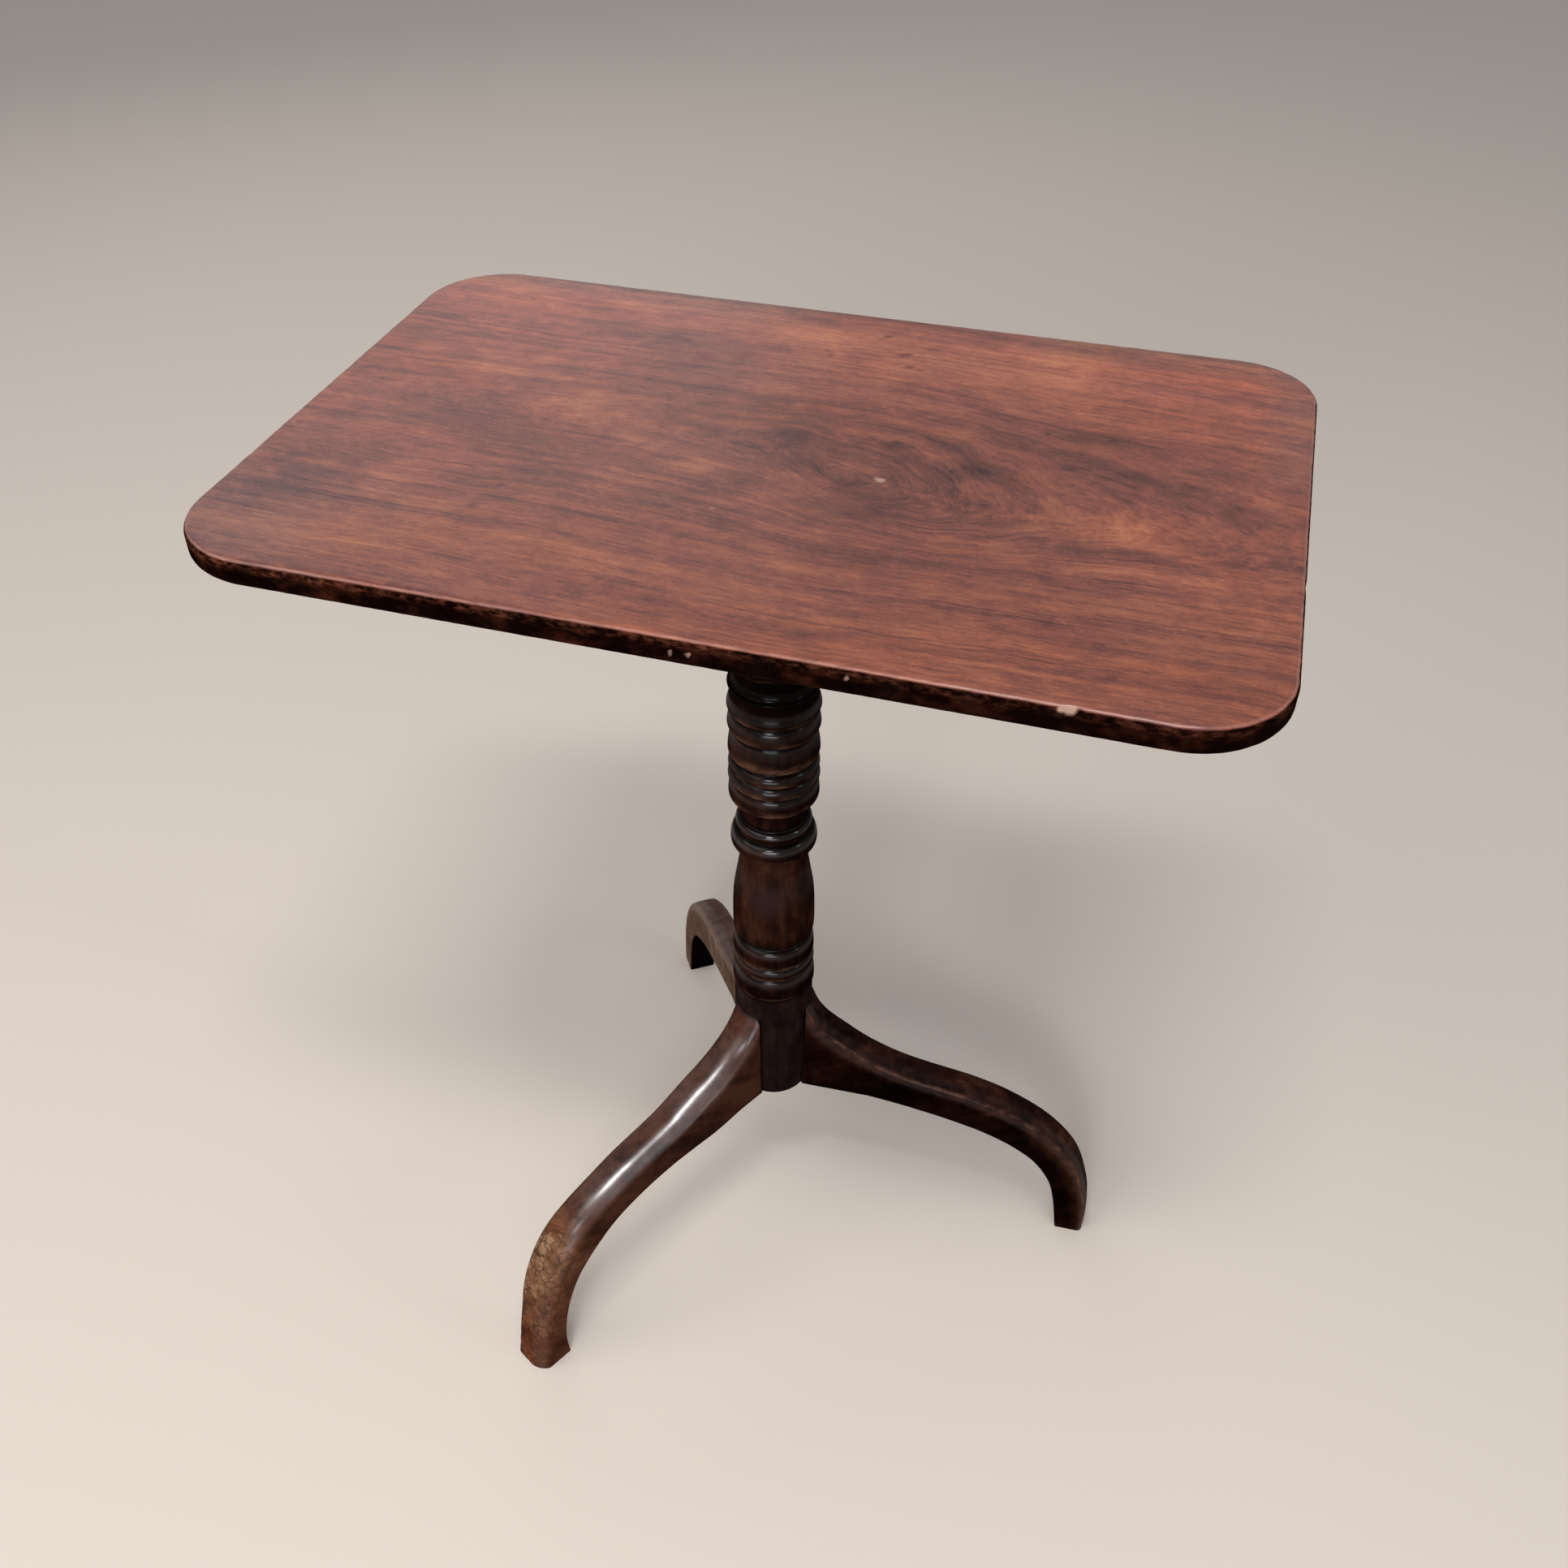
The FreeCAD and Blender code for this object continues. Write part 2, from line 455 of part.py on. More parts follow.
rivet = Part.makeCylinder(1.6, 4.2, Vector(0, KNOB_Y, BOLT_Z0))
bolt = bolt.cut(rivet)
knob = turned([
    [(0, 674.0), (3.0, 674.0)],
    [(3.0, 674.0), (5.2, 674.9), (5.9, 677.0), (5.2, 679.2), (3.4, 680.3), (SHANK_R, 681.2)],
    [(SHANK_R, 681.2), (SHANK_R, BOLT_Z0)],
    [(SHANK_R, BOLT_Z0), (1.6, BOLT_Z0)],
    [(1.6, BOLT_Z0), (1.6, BOLT_Z0 + 4.2)],
    [(1.6, BOLT_Z0 + 4.2), (0, BOLT_Z0 + 4.2)],
    [(0, BOLT_Z0 + 4.2), (0, 674.0)],
])
knob.translate(Vector(0, KNOB_Y, 0))

# bowed leaf that presses the bolt down in its case
sp_lo, sp_hi, sp_t = BOLT_Z0 + BOLT_H + 0.05, pz0, 0.45
mid_y = -87.0
half = 17.0
low_arc = Part.Arc(Vector(0, mid_y - half, sp_hi - sp_t), Vector(0, mid_y, sp_lo), Vector(0, mid_y + half, sp_hi - sp_t)).toShape()
up_arc = Part.Arc(Vector(0, mid_y + half, sp_hi), Vector(0, mid_y, sp_lo + sp_t), Vector(0, mid_y - half, sp_hi)).toShape()
leaf = Part.Face(Part.Wire([
    low_arc,
    Part.makeLine(Vector(0, mid_y + half, sp_hi - sp_t), Vector(0, mid_y + half, sp_hi)),
    up_arc,
    Part.makeLine(Vector(0, mid_y - half, sp_hi), Vector(0, mid_y - half, sp_hi - sp_t)),
])).extrude(Vector(12, 0, 0))
leaf.translate(Vector(-6, 0, 0))

# ---------------------------------------------------------------- write the nodes
save(top, "table_top")
save(column, "column")
save(wedge, "column_wedge")
for n in legs:
    save(legs[n], n)
save(block, "hinge_block")
save(pin_l, "pivot_pin_left")
save(pin_r, "pivot_pin_right")
save(strike, "keeper_plate")
save(Part.makeCompound(keeper_screws), "keeper_screws")
save(brace, "base_brace")
save(Part.makeCompound(brace_screws), "brace_screws")
save(bearer_l, "bearer_left")
save(bearer_r, "bearer_right")
save(Part.makeCompound(bearer_screws), "bearer_screws")
save(plate, "catch_plate")
save(case, "catch_case")
save(leaf, "catch_spring")
save(Part.makeCompound(catch_screws), "catch_screws")
save(bolt, "catch_bolt")
save(knob, "catch_knob")
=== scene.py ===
import bpy
import bmesh
import math
import random
from mathutils import Matrix, Vector, noise


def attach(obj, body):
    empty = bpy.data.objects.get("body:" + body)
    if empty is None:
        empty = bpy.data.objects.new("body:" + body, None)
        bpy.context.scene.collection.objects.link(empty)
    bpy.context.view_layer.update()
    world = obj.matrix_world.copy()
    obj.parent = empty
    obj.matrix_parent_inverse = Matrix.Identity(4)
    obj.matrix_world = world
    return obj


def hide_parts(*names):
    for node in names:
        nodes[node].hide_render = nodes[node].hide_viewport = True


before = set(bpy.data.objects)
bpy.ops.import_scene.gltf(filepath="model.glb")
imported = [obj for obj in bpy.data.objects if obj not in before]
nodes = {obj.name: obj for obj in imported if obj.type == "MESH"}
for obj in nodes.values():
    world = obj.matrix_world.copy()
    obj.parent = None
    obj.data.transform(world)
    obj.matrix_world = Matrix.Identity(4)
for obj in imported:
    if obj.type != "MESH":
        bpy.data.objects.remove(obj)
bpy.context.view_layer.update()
MM = 0.001

# the pillar's axis and the middle of the top, in the row frame
AX, AY = -3.5, 12.8
TOPX, TOPY = 0.0, 13.5

# ---------------------------------------------------------------- camera
F_PX, PITCH, ROLL = 1874.6, math.radians(40.75), math.radians(0.52)
CAM = Vector((-0.0162, -0.8222, 1.1545))
CX = 930.0
turn = Matrix.Rotation(math.radians(17.40), 3, "Z")
fwd = Vector((0, math.cos(PITCH), -math.sin(PITCH)))
dn = Vector((0, -math.sin(PITCH), -math.cos(PITCH)))
rt = Vector((1, 0, 0))
rt2 = math.cos(ROLL) * rt + math.sin(ROLL) * dn
dn2 = -math.sin(ROLL) * rt + math.cos(ROLL) * dn
cols = (turn @ rt2, turn @ (-dn2), turn @ (-fwd))
rot = Matrix(((cols[0][0], cols[1][0], cols[2][0]),
              (cols[0][1], cols[1][1], cols[2][1]),
              (cols[0][2], cols[1][2], cols[2][2])))
cam_data = bpy.data.cameras.new("photo_camera")
cam_data.sensor_width = 36.0
cam_data.lens = 36.0 * F_PX / 1932.0
cam_data.shift_x = (966.0 - CX) / 1932.0
cam_data.clip_start = 0.05
cam_data.clip_end = 50
cam = bpy.data.objects.new("photo_camera", cam_data)
bpy.context.scene.collection.objects.link(cam)
cam.matrix_world = Matrix.Translation(turn @ CAM + Vector((-0.0011, 0.0135, 0))) @ rot.to_4x4()
bpy.context.scene.camera = cam
bpy.context.scene.view_settings.view_transform = "Standard"


# ---------------------------------------------------------------- mesh helpers
def new_object(name, bm, smooth=True):
    me = bpy.data.meshes.new(name)
    bm.normal_update()
    bm.to_mesh(me)
    bm.free()
    if smooth:
        me.polygons.foreach_set("use_smooth", [True] * len(me.polygons))
    ob = bpy.data.objects.new(name, me)
    bpy.context.scene.collection.objects.link(ob)
    return ob


def set_attr(ob, name, values):
    a = ob.data.attributes.new(name, "FLOAT", "POINT")
    a.data.foreach_set("value", values)


def n3(x, y, z, seed=0.0):
    # smooth noise, about -1..1
    return noise.noise(Vector((x + seed * 17.3, y - seed * 9.1, z + seed * 5.7)))


def fbm(x, y, z, octaves=3, seed=0.0):
    s, a, t = 0.0, 1.0, 0.0
    for i in range(octaves):
        s += a * n3(x, y, z, seed + i * 1.7)
        t += a
        a *= 0.5
        x, y, z = x * 2.03, y * 2.03, z * 2.03
    return s / t


def smooth01(v):
    v = min(1.0, max(0.0, v))
    return v * v * (3 - 2 * v)


def catmull(pts, step):
    # points about `step` apart along a smooth line through pts
    if len(pts) == 2:
        n = max(1, int(round(math.dist(pts[0], pts[1]) / step)))
        return [tuple(pts[0][k] + (pts[1][k] - pts[0][k]) * i / n for k in range(2)) for i in range(n)] + [tuple(pts[1])]
    out = []
    ext = [tuple(2 * pts[0][k] - pts[1][k] for k in range(2))] + list(pts) + \
          [tuple(2 * pts[-1][k] - pts[-2][k] for k in range(2))]
    for i in range(1, len(ext) - 2):
        p0, p1, p2, p3 = ext[i - 1:i + 3]
        t0 = 0.0
        t1 = t0 + max(1e-6, math.dist(p0, p1)) ** 0.5
        t2 = t1 + max(1e-6, math.dist(p1, p2)) ** 0.5
        t3 = t2 + max(1e-6, math.dist(p2, p3)) ** 0.5
        n = max(1, int(round(math.dist(p1, p2) / step)))
        for j in range(n):
            t = t1 + (t2 - t1) * j / n
            q = []
            for k in range(2):
                a1 = (t1 - t) / (t1 - t0) * p0[k] + (t - t0) / (t1 - t0) * p1[k]
                a2 = (t2 - t) / (t2 - t1) * p1[k] + (t - t1) / (t2 - t1) * p2[k]
                a3 = (t3 - t) / (t3 - t2) * p2[k] + (t - t2) / (t3 - t2) * p3[k]
                b1 = (t2 - t) / (t2 - t0) * a1 + (t - t0) / (t2 - t0) * a2
                b2 = (t3 - t) / (t3 - t1) * a2 + (t - t1) / (t3 - t1) * a3
                q.append((t2 - t) / (t2 - t1) * b1 + (t - t1) / (t2 - t1) * b2)
            out.append(tuple(q))
    out.append(tuple(pts[-1]))
    return out


def resample(line, n):
    # n + 1 points evenly spaced along a polyline
    acc = [0.0]
    for a, b in zip(line, line[1:]):
        acc.append(acc[-1] + math.dist(a, b))
    out, j = [], 0
    for i in range(n + 1):
        s = acc[-1] * i / n
        while j < len(acc) - 2 and acc[j + 1] < s:
            j += 1
        t = (s - acc[j]) / max(1e-9, acc[j + 1] - acc[j])
        t = min(1.0, max(0.0, t))
        out.append(tuple(line[j][k] + (line[j + 1][k] - line[j][k]) * t for k in range(2)))
    return out


# ---------------------------------------------------------------- top board
TOP_L, TOP_W, TOP_Z, TOP_T = 613.0, 406.0, 711.0, 17.0
CORNERS = {(-1, -1): 57.0, (1, -1): 55.0, (-1, 1): 55.0, (1, 1): 51.0}
ARRIS, UNDER = 4.0, 4.0


def board_point(x, y, inset):
    """Position of a place on the rectangle, with its corners rounded."""
    hx, hy = TOP_L / 2 - inset, TOP_W / 2 - inset
    sx, sy = (1 if x >= 0 else -1), (1 if y >= 0 else -1)
    r = CORNERS[(sx, sy)] - inset
    ax, ay = abs(x), abs(y)
    ux, uy = (ax - (hx - r)) / r, (ay - (hy - r)) / r
    if ux > 0 and uy > 0:
        u, v = min(ux, 1.0), min(uy, 1.0)
        a, b = u * math.sqrt(1 - v * v / 2), v * math.sqrt(1 - u * u / 2)
        return sx * (hx - r + a * r), sy * (hy - r + b * r)
    return x, y


# marks on the upper face: x, y, half lengths, turn in degrees, depth of tone (dark is negative)
TOP_MARKS = [
    (46, -6, 88, 58, -14, -0.30), (4, 10, 22, 32, 10, -0.72), (30, -14, 38, 18, -12, -0.35), (66, -42, 34, 24, 10, -0.45),
    (66, 24, 13, 7, 0, -0.9), (72, -50, 12, 9, 20, -0.4), (30, -36, 30, 10, -20, 0.45), (-10, -62, 34, 14, 12, 0.5), (118, -34, 16, 12, -30, -0.3), (118, 12, 22, 5, -8, -0.5),
    (84, -58, 34, 6, 8, -0.5), (100, -8, 34, 30, 0, -0.35),
    (0, 58, 84, 6, -3, -0.55), (80, 40, 60, 6, -18, -0.45), (-82, 110, 48, 14, -2, -0.55), (-168, -92, 54, 9, 3, -0.6),
    (66, -100, 78, 9, -3, -0.55), (-150, -164, 82, 5, -2, -0.45), (206, -58, 98, 5, 4, -0.7), (150, -100, 90, 6, 2, -0.35),
    (262, 0, 46, 36, 0, -0.5), (300, -18, 20, 60, 0, -0.3), (-266, -112, 36, 34, 0, -0.65), (-200, -2, 40, 24, 0, -0.5),
    (-250, -60, 50, 30, 0, -0.3), (180, 68, 50, 12, -4, -0.55), (220, 30, 60, 20, 0, -0.3), (-130, 130, 80, 18, 0, -0.3),
    (-240, 96, 60, 18, 0, -0.35), (-20, -70, 40, 28, 0, -0.3), (262, 118, 40, 40, 0, -0.12), (-290, 120, 22, 60, 0, -0.3),
    (-150, -40, 60, 22, 0, -0.3), (195, -145, 36, 26, 0, -0.35), (-120, -150, 40, 10, 0, -0.3),
    (-16, 160, 46, 18, 3, 0.9), (146, 152, 50, 28, -3, 0.8), (60, 150, 60, 16, -2, 0.5), (-190, 60, 44, 26, 6, 0.4), (80, 135, 90, 18, 0, 0.35), (-134, 18, 38, 26, 4, 0.95), (-92, -14, 20, 16, 0, 0.4),
    (-44, -34, 26, 16, 10, 0.85), (-86, -58, 22, 24, 24, 0.7), (-196, -84, 30, 30, 20, 0.5), (200, -34, 34, 24, 0, 0.55), (228, -76, 76, 9, 3, 0.55), (210, -38, 16, 14, 0, 0.5), (-60, -150, 150, 18, -2, 0.35),
    (-190, -165, 70, 12, -3, 0.4), (120, -160, 110, 22, 0, 0.35), (-240, -50, 40, 14, 0, 0.4), (-200, 50, 80, 10, 2, 0.3),
    (170, -20, 40, 14, -6, 0.3), (-10, -28, 22, 10, 0, 0.2), (290, 60, 20, 20, 0, 0.35),
]
# dark specks and light nicks: x, y, radius, tone
TOP_SPECKS = [
    (26, 171, 3.6, -1.0), (22, 166, 2.6, -0.8), (42, 145, 5.0, -0.8), (46, 149, 3.0, -0.7), (50, 130, 3.6, -0.9),
    (58, 127, 2.8, -0.8), (40, 132, 3.0, -0.6), (-8, 139, 3.0, -0.7), (-4, 133, 3.4, -0.7), (-230, 162, 3.4, -0.6),
    (-238, 168, 2.4, -0.5), (65, 28, 4.0, -0.9), (60, 30, 1.6, 1.2), (66, -19, 2.6, 2.4), (63, -17, 1.7, 1.6),
    (-108, 66, 3.4, -0.8), (104, 4, 3.0, -0.8), (120, 8, 3.8, -0.8), (-144, -86, 3.4, -0.9), (-150, -112, 4.6, -0.6),
    (-18, -76, 2.0, 1.0), (-296, -50, 2.4, -0.8), (-80, 46, 1.8, 0.7), (248, -122, 1.8, 0.8), (244, -126, 1.5, 0.7),
    (150, 64, 3.2, -0.7), (-54, 120, 3.6, -0.5), (-40, 102, 4.2, -0.5), (190, 66, 5.0, -0.6), (-206, -152, 1.6, -0.7),
]


# nicks in the side that show pale wood: x, y, z, radius, tone
SIDE_SPECKS = [(202.5, -202, 709.6, 3.0, 2.6), (198, -203, 709.0, 2.0, 1.8), (1, -203, 701.5, 1.7, 1.5), (10.5, -203, 702.0, 1.8, 1.5),
               (93, -203, 705.5, 1.7, 1.5), (-236, -197, 704.0, 1.6, 1.2), (304, -70, 707.0, 2.2, 1.4), (-304, 60, 705.0, 2.0, 1.2),
               (-70, 203, 706.0, 2.0, 1.3), (190, 203, 703.0, 1.8, 1.2)]


def side_speck(x, y, z):
    t = 0.0
    for mx, my, mz, r, s in SIDE_SPECKS:
        q = ((x - mx) ** 2 + 0.5 * (y - my) ** 2 + (z - mz) ** 2) / (r * r)
        if q < 8:
            t += s * math.exp(-q * 1.4)
    return t


def top_tone(x, y):
    t = 0.0
    wx = x + 9 * n3(x / 34, y / 16, 0.3) + 3 * n3(x / 11, y / 6, 2.1)
    wy = y + 6 * n3(x / 40, y / 14, 5.3) + 2.2 * n3(x / 12, y / 5, 7.7)
    for mx, my, rx, ry, deg, s in TOP_MARKS:
        dx, dy = wx - mx, wy - my
        if abs(dx) > 1.6 * (rx + ry) or abs(dy) > 1.6 * (rx + ry):
            continue
        c, d = math.cos(math.radians(deg)), math.sin(math.radians(deg))
        u, v = (dx * c + dy * d) / rx, (-dx * d + dy * c) / ry
        q = u * u + v * v
        if q < 2.4:
            t += s * math.exp(-1.5 * q) * 1.0
    return t


# the board is sawn through its growth rings: their depth under the surface along the board, and their middle line
RING_DEPTH = [(-306, 35), (-200, 32), (-100, 30), (-50, 28), (-16, 23), (16, 12), (42, 5), (66, 12), (90, 23), (130, 40), (170, 50),
              (230, 58), (306, 64)]
RING_MIDDLE = [(-306, 16), (-100, 11), (-10, 5), (50, -20), (124, -33), (306, -37)]


def along_line(pts, x):
    for (x0, a), (x1, b) in zip(pts, pts[1:]):
        if x <= x1:
            t = (x - x0) / (x1 - x0)
            return a + (b - a) * smooth01(t)
    return pts[-1][1]


def ring_flow(x, y):
    """Which growth ring the surface shows here, in millimetres, and which side of the middle line this is."""
    wy = y + 5.0 * n3(x / 120, y / 60, 1.3) + 1.6 * n3(x / 38, y / 20, 4.4) + 0.5 * n3(x / 14, y / 9, 6.2)
    wx = x + 6.0 * n3(x / 40, y / 16, 8.1)
    mid = along_line(RING_MIDDLE, x)
    far = 8.0 - 0.03 * x
    d = wy - far - (mid - far) * math.exp(-((wy - mid) / 62.0) ** 2)
    h = along_line(RING_DEPTH, wx)
    return math.sqrt(d * d + h * h), d / (abs(d) + 16.0)


def top_speck(x, y):
    t = 0.0
    for mx, my, r, s in TOP_SPECKS:
        dx, dy = x - mx, y - my
        if abs(dx) > 3 * r or abs(dy) > 3 * r:
            continue
        wob = 1 + 0.35 * n3(x / 3, y / 3, mx)
        q = (dx * dx / 1.5 + dy * dy * 1.3) / (r * r * wob * wob)
        t += s * math.exp(-q * 1.6)
    return t


def make_top():
    bm = bmesh.new()
    step = 2.0
    ins = ARRIS + 0.6
    nx, ny = int((TOP_L - 2 * ins) / step), int((TOP_W - 2 * ins) / step)
    hx, hy = TOP_L / 2 - ins, TOP_W / 2 - ins
    rnd = random.Random(5)
    tone, speck, edge, flow, half = [], [], [], [], []

    def add(x, y, z, e=0.0):
        v = bm.verts.new(((x + TOPX) * MM, (y + TOPY) * MM, z * MM))
        tone.append(top_tone(x, y))
        speck.append(top_speck(x, y) if z > TOP_Z - 0.5 else side_speck(x, y, z))
        f, sd = ring_flow(x, y)
        flow.append(f * MM)
        half.append(sd)
        edge.append(e)
        return v

    grid = {}
    for i in range(nx + 1):
        for j in range(ny + 1):
            x, y = -hx + 2 * hx * i / nx, -hy + 2 * hy * j / ny
            px, py = board_point(x, y, ins)
            dip = 0.05 + 0.05 * fbm(px / 90, py / 40, 0, 3, 1) + 0.02 * n3(px / 18, py / 5, 0, 3)
            for mx, my, r, s in TOP_SPECKS:
                if abs(px - mx) < 2 * r and abs(py - my) < 2 * r:
                    q = ((px - mx) ** 2 + (py - my) ** 2) / (r * r)
                    dip += 0.14 * abs(s) * math.exp(-q)
            grid[(i, j)] = add(px, py, TOP_Z - max(0.0, dip))
    for i in range(nx):
        for j in range(ny):
            bm.faces.new((grid[(i, j)], grid[(i + 1, j)], grid[(i + 1, j + 1)], grid[(i, j + 1)]))
    # rim order, anticlockwise from the front-left corner
    rim = [(i, 0) for i in range(nx)] + [(nx, j) for j in range(ny)] + \
          [(i, ny) for i in range(nx, 0, -1)] + [(0, j) for j in range(ny, 0, -1)]
    base = []
    for i, j in rim:
        x, y = -hx + 2 * hx * i / nx, -hy + 2 * hy * j / ny
        px, py = board_point(x, y, ins)
        sx, sy = (1 if x >= 0 else -1), (1 if y >= 0 else -1)
        r = CORNERS[(sx, sy)] - ins
        cx, cy = sx * (hx - r), sy * (hy - r)
        if abs(px) > hx - r + 1e-6 and abs(py) > hy - r + 1e-6:
            n = Vector((px - cx, py - cy)).normalized()
        elif abs(abs(py) - hy) < 1e-6:
            n = Vector((0, sy))
        else:
            n = Vector((sx, 0))
        base.append((px, py, n))
    # section: distance out from the rim, height
    sec = []
    for k in range(1, 10):
        a = math.radians(90 * k / 9)
        sec.append((0.6 + ARRIS * math.sin(a), TOP_Z - ARRIS + ARRIS * math.cos(a), math.sin(a * 2)))
    for k in range(1, 4):
        sec.append((0.6 + ARRIS, TOP_Z - ARRIS - (TOP_T - ARRIS - UNDER) * k / 4, 0.0))
    for k in range(0, 8):
        a = math.radians(90 * k / 7)
        sec.append((0.6 + ARRIS - UNDER + UNDER * math.cos(a), TOP_Z - TOP_T + UNDER - UNDER * math.sin(a),
                    0.8 * math.sin(a * 2)))
    sec.append((0.6 + ARRIS - UNDER - 1.2, TOP_Z - TOP_T, 0.0))
    chips = CHIPS
    prev = [grid[ij] for ij in rim]
    length = 0.0
    for s_i, (off, z, e) in enumerate(sec):
        ring = []
        for k, (px, py, n) in enumerate(base):
            bite = 0.10 + 0.12 * fbm(px / 14, py / 14, z / 6, 3, 4)
            bite += e * max(0.0, 0.25 * n3(px / 6, py / 6, z / 5, 6) + 0.10)
            drop = 0.0
            qx, qy = px + n[0] * off, py + n[1] * off
            for c_x, c_y, c_z, c_l, c_h, c_d in chips:
                if abs(qx - c_x) < 2 * c_l and abs(qy - c_y) < 2 * c_l + 3:
                    q = ((qx - c_x) ** 2 + (qy - c_y) ** 2) / (c_l * c_l) + ((z - c_z) / c_h) ** 2
                    w = math.exp(-q * 1.5) * (0.8 + 0.4 * n3(qx / 1.7, z / 1.7, qy / 1.7, 8))
                    bite += c_d * w
            bite = max(0.0, bite)
            x, y = px + n[0] * (off - bite), py + n[1] * (off - bite)
            zz = z
            if z > TOP_Z - ARRIS and s_i < 9:
                zz = z - 0.5 * bite * math.cos(math.radians(90 * (s_i + 1) / 9)) - 0.04
            ring.append(add(x, y, min(zz, TOP_Z - 0.03), e))
        m = len(ring)
        for k in range(m):
            bm.faces.new((prev[(k + 1) % m], prev[k], ring[k], ring[(k + 1) % m]))
        prev = ring
    # underside: one more ring in, then a plain sheet
    ring = [add(px - n[0] * 3.0, py - n[1] * 3.0, TOP_Z - TOP_T) for px, py, n in base]
    m = len(ring)
    for k in range(m):
        bm.faces.new((prev[(k + 1) % m], prev[k], ring[k], ring[(k + 1) % m]))
    bm.faces.new(list(reversed(ring)))
    ob = new_object("top_board", bm)
    ob.data.polygons[len(ob.data.polygons) - 1].use_smooth = False
    set_attr(ob, "tone", tone)
    set_attr(ob, "speck", speck)
    set_attr(ob, "edge", edge)
    set_attr(ob, "flow", flow)
    set_attr(ob, "half", half)
    return ob


# chips in the board's edge: x, y, z, half length, half height, depth, in millimetres about the board's middle
CHIPS = [
    (203, -203, 708.5, 3.4, 2.6, 1.5), (207, -203, 710.0, 2.2, 1.6, 0.9), (-118, -203, 702, 3.0, 2.0, 0.9),
    (-104, -203, 703, 2.4, 1.6, 0.8), (-60, -203, 698, 5.0, 1.6, 0.7), (60, -203, 697, 3.0, 1.6, 0.7),
    (-302, -90, 707, 4.0, 2.2, 0.8), (-306, 40, 706, 3.0, 2.0, 0.6), (306, -60, 707, 5.0, 2.4, 0.8),
    (306, 50, 698, 4.0, 2.0, 0.7), (-180, -203, 708, 2.6, 1.8, 0.7), (120, -203, 699, 6.0, 1.6, 0.7),
    (260, -203, 700, 4.0, 2.4, 0.8), (-20, 203, 707, 5.0, 2.0, 0.7), (140, 203, 708, 3.0, 2.0, 0.8),
    (-230, 203, 699, 5.0, 2.0, 0.7), (-240, -203, 700, 5.0, 2.0, 0.6), (20, -203, 707.5, 2.0, 1.4, 0.5),
    (1, -203, 701.5, 2.2, 1.8, 0.7), (10.5, -203, 702, 2.4, 1.6, 0.7), (93, -203, 705.5, 2.2, 1.8, 0.6),
]

top = make_top()
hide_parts("table_top")
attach(top, "tilting_top")

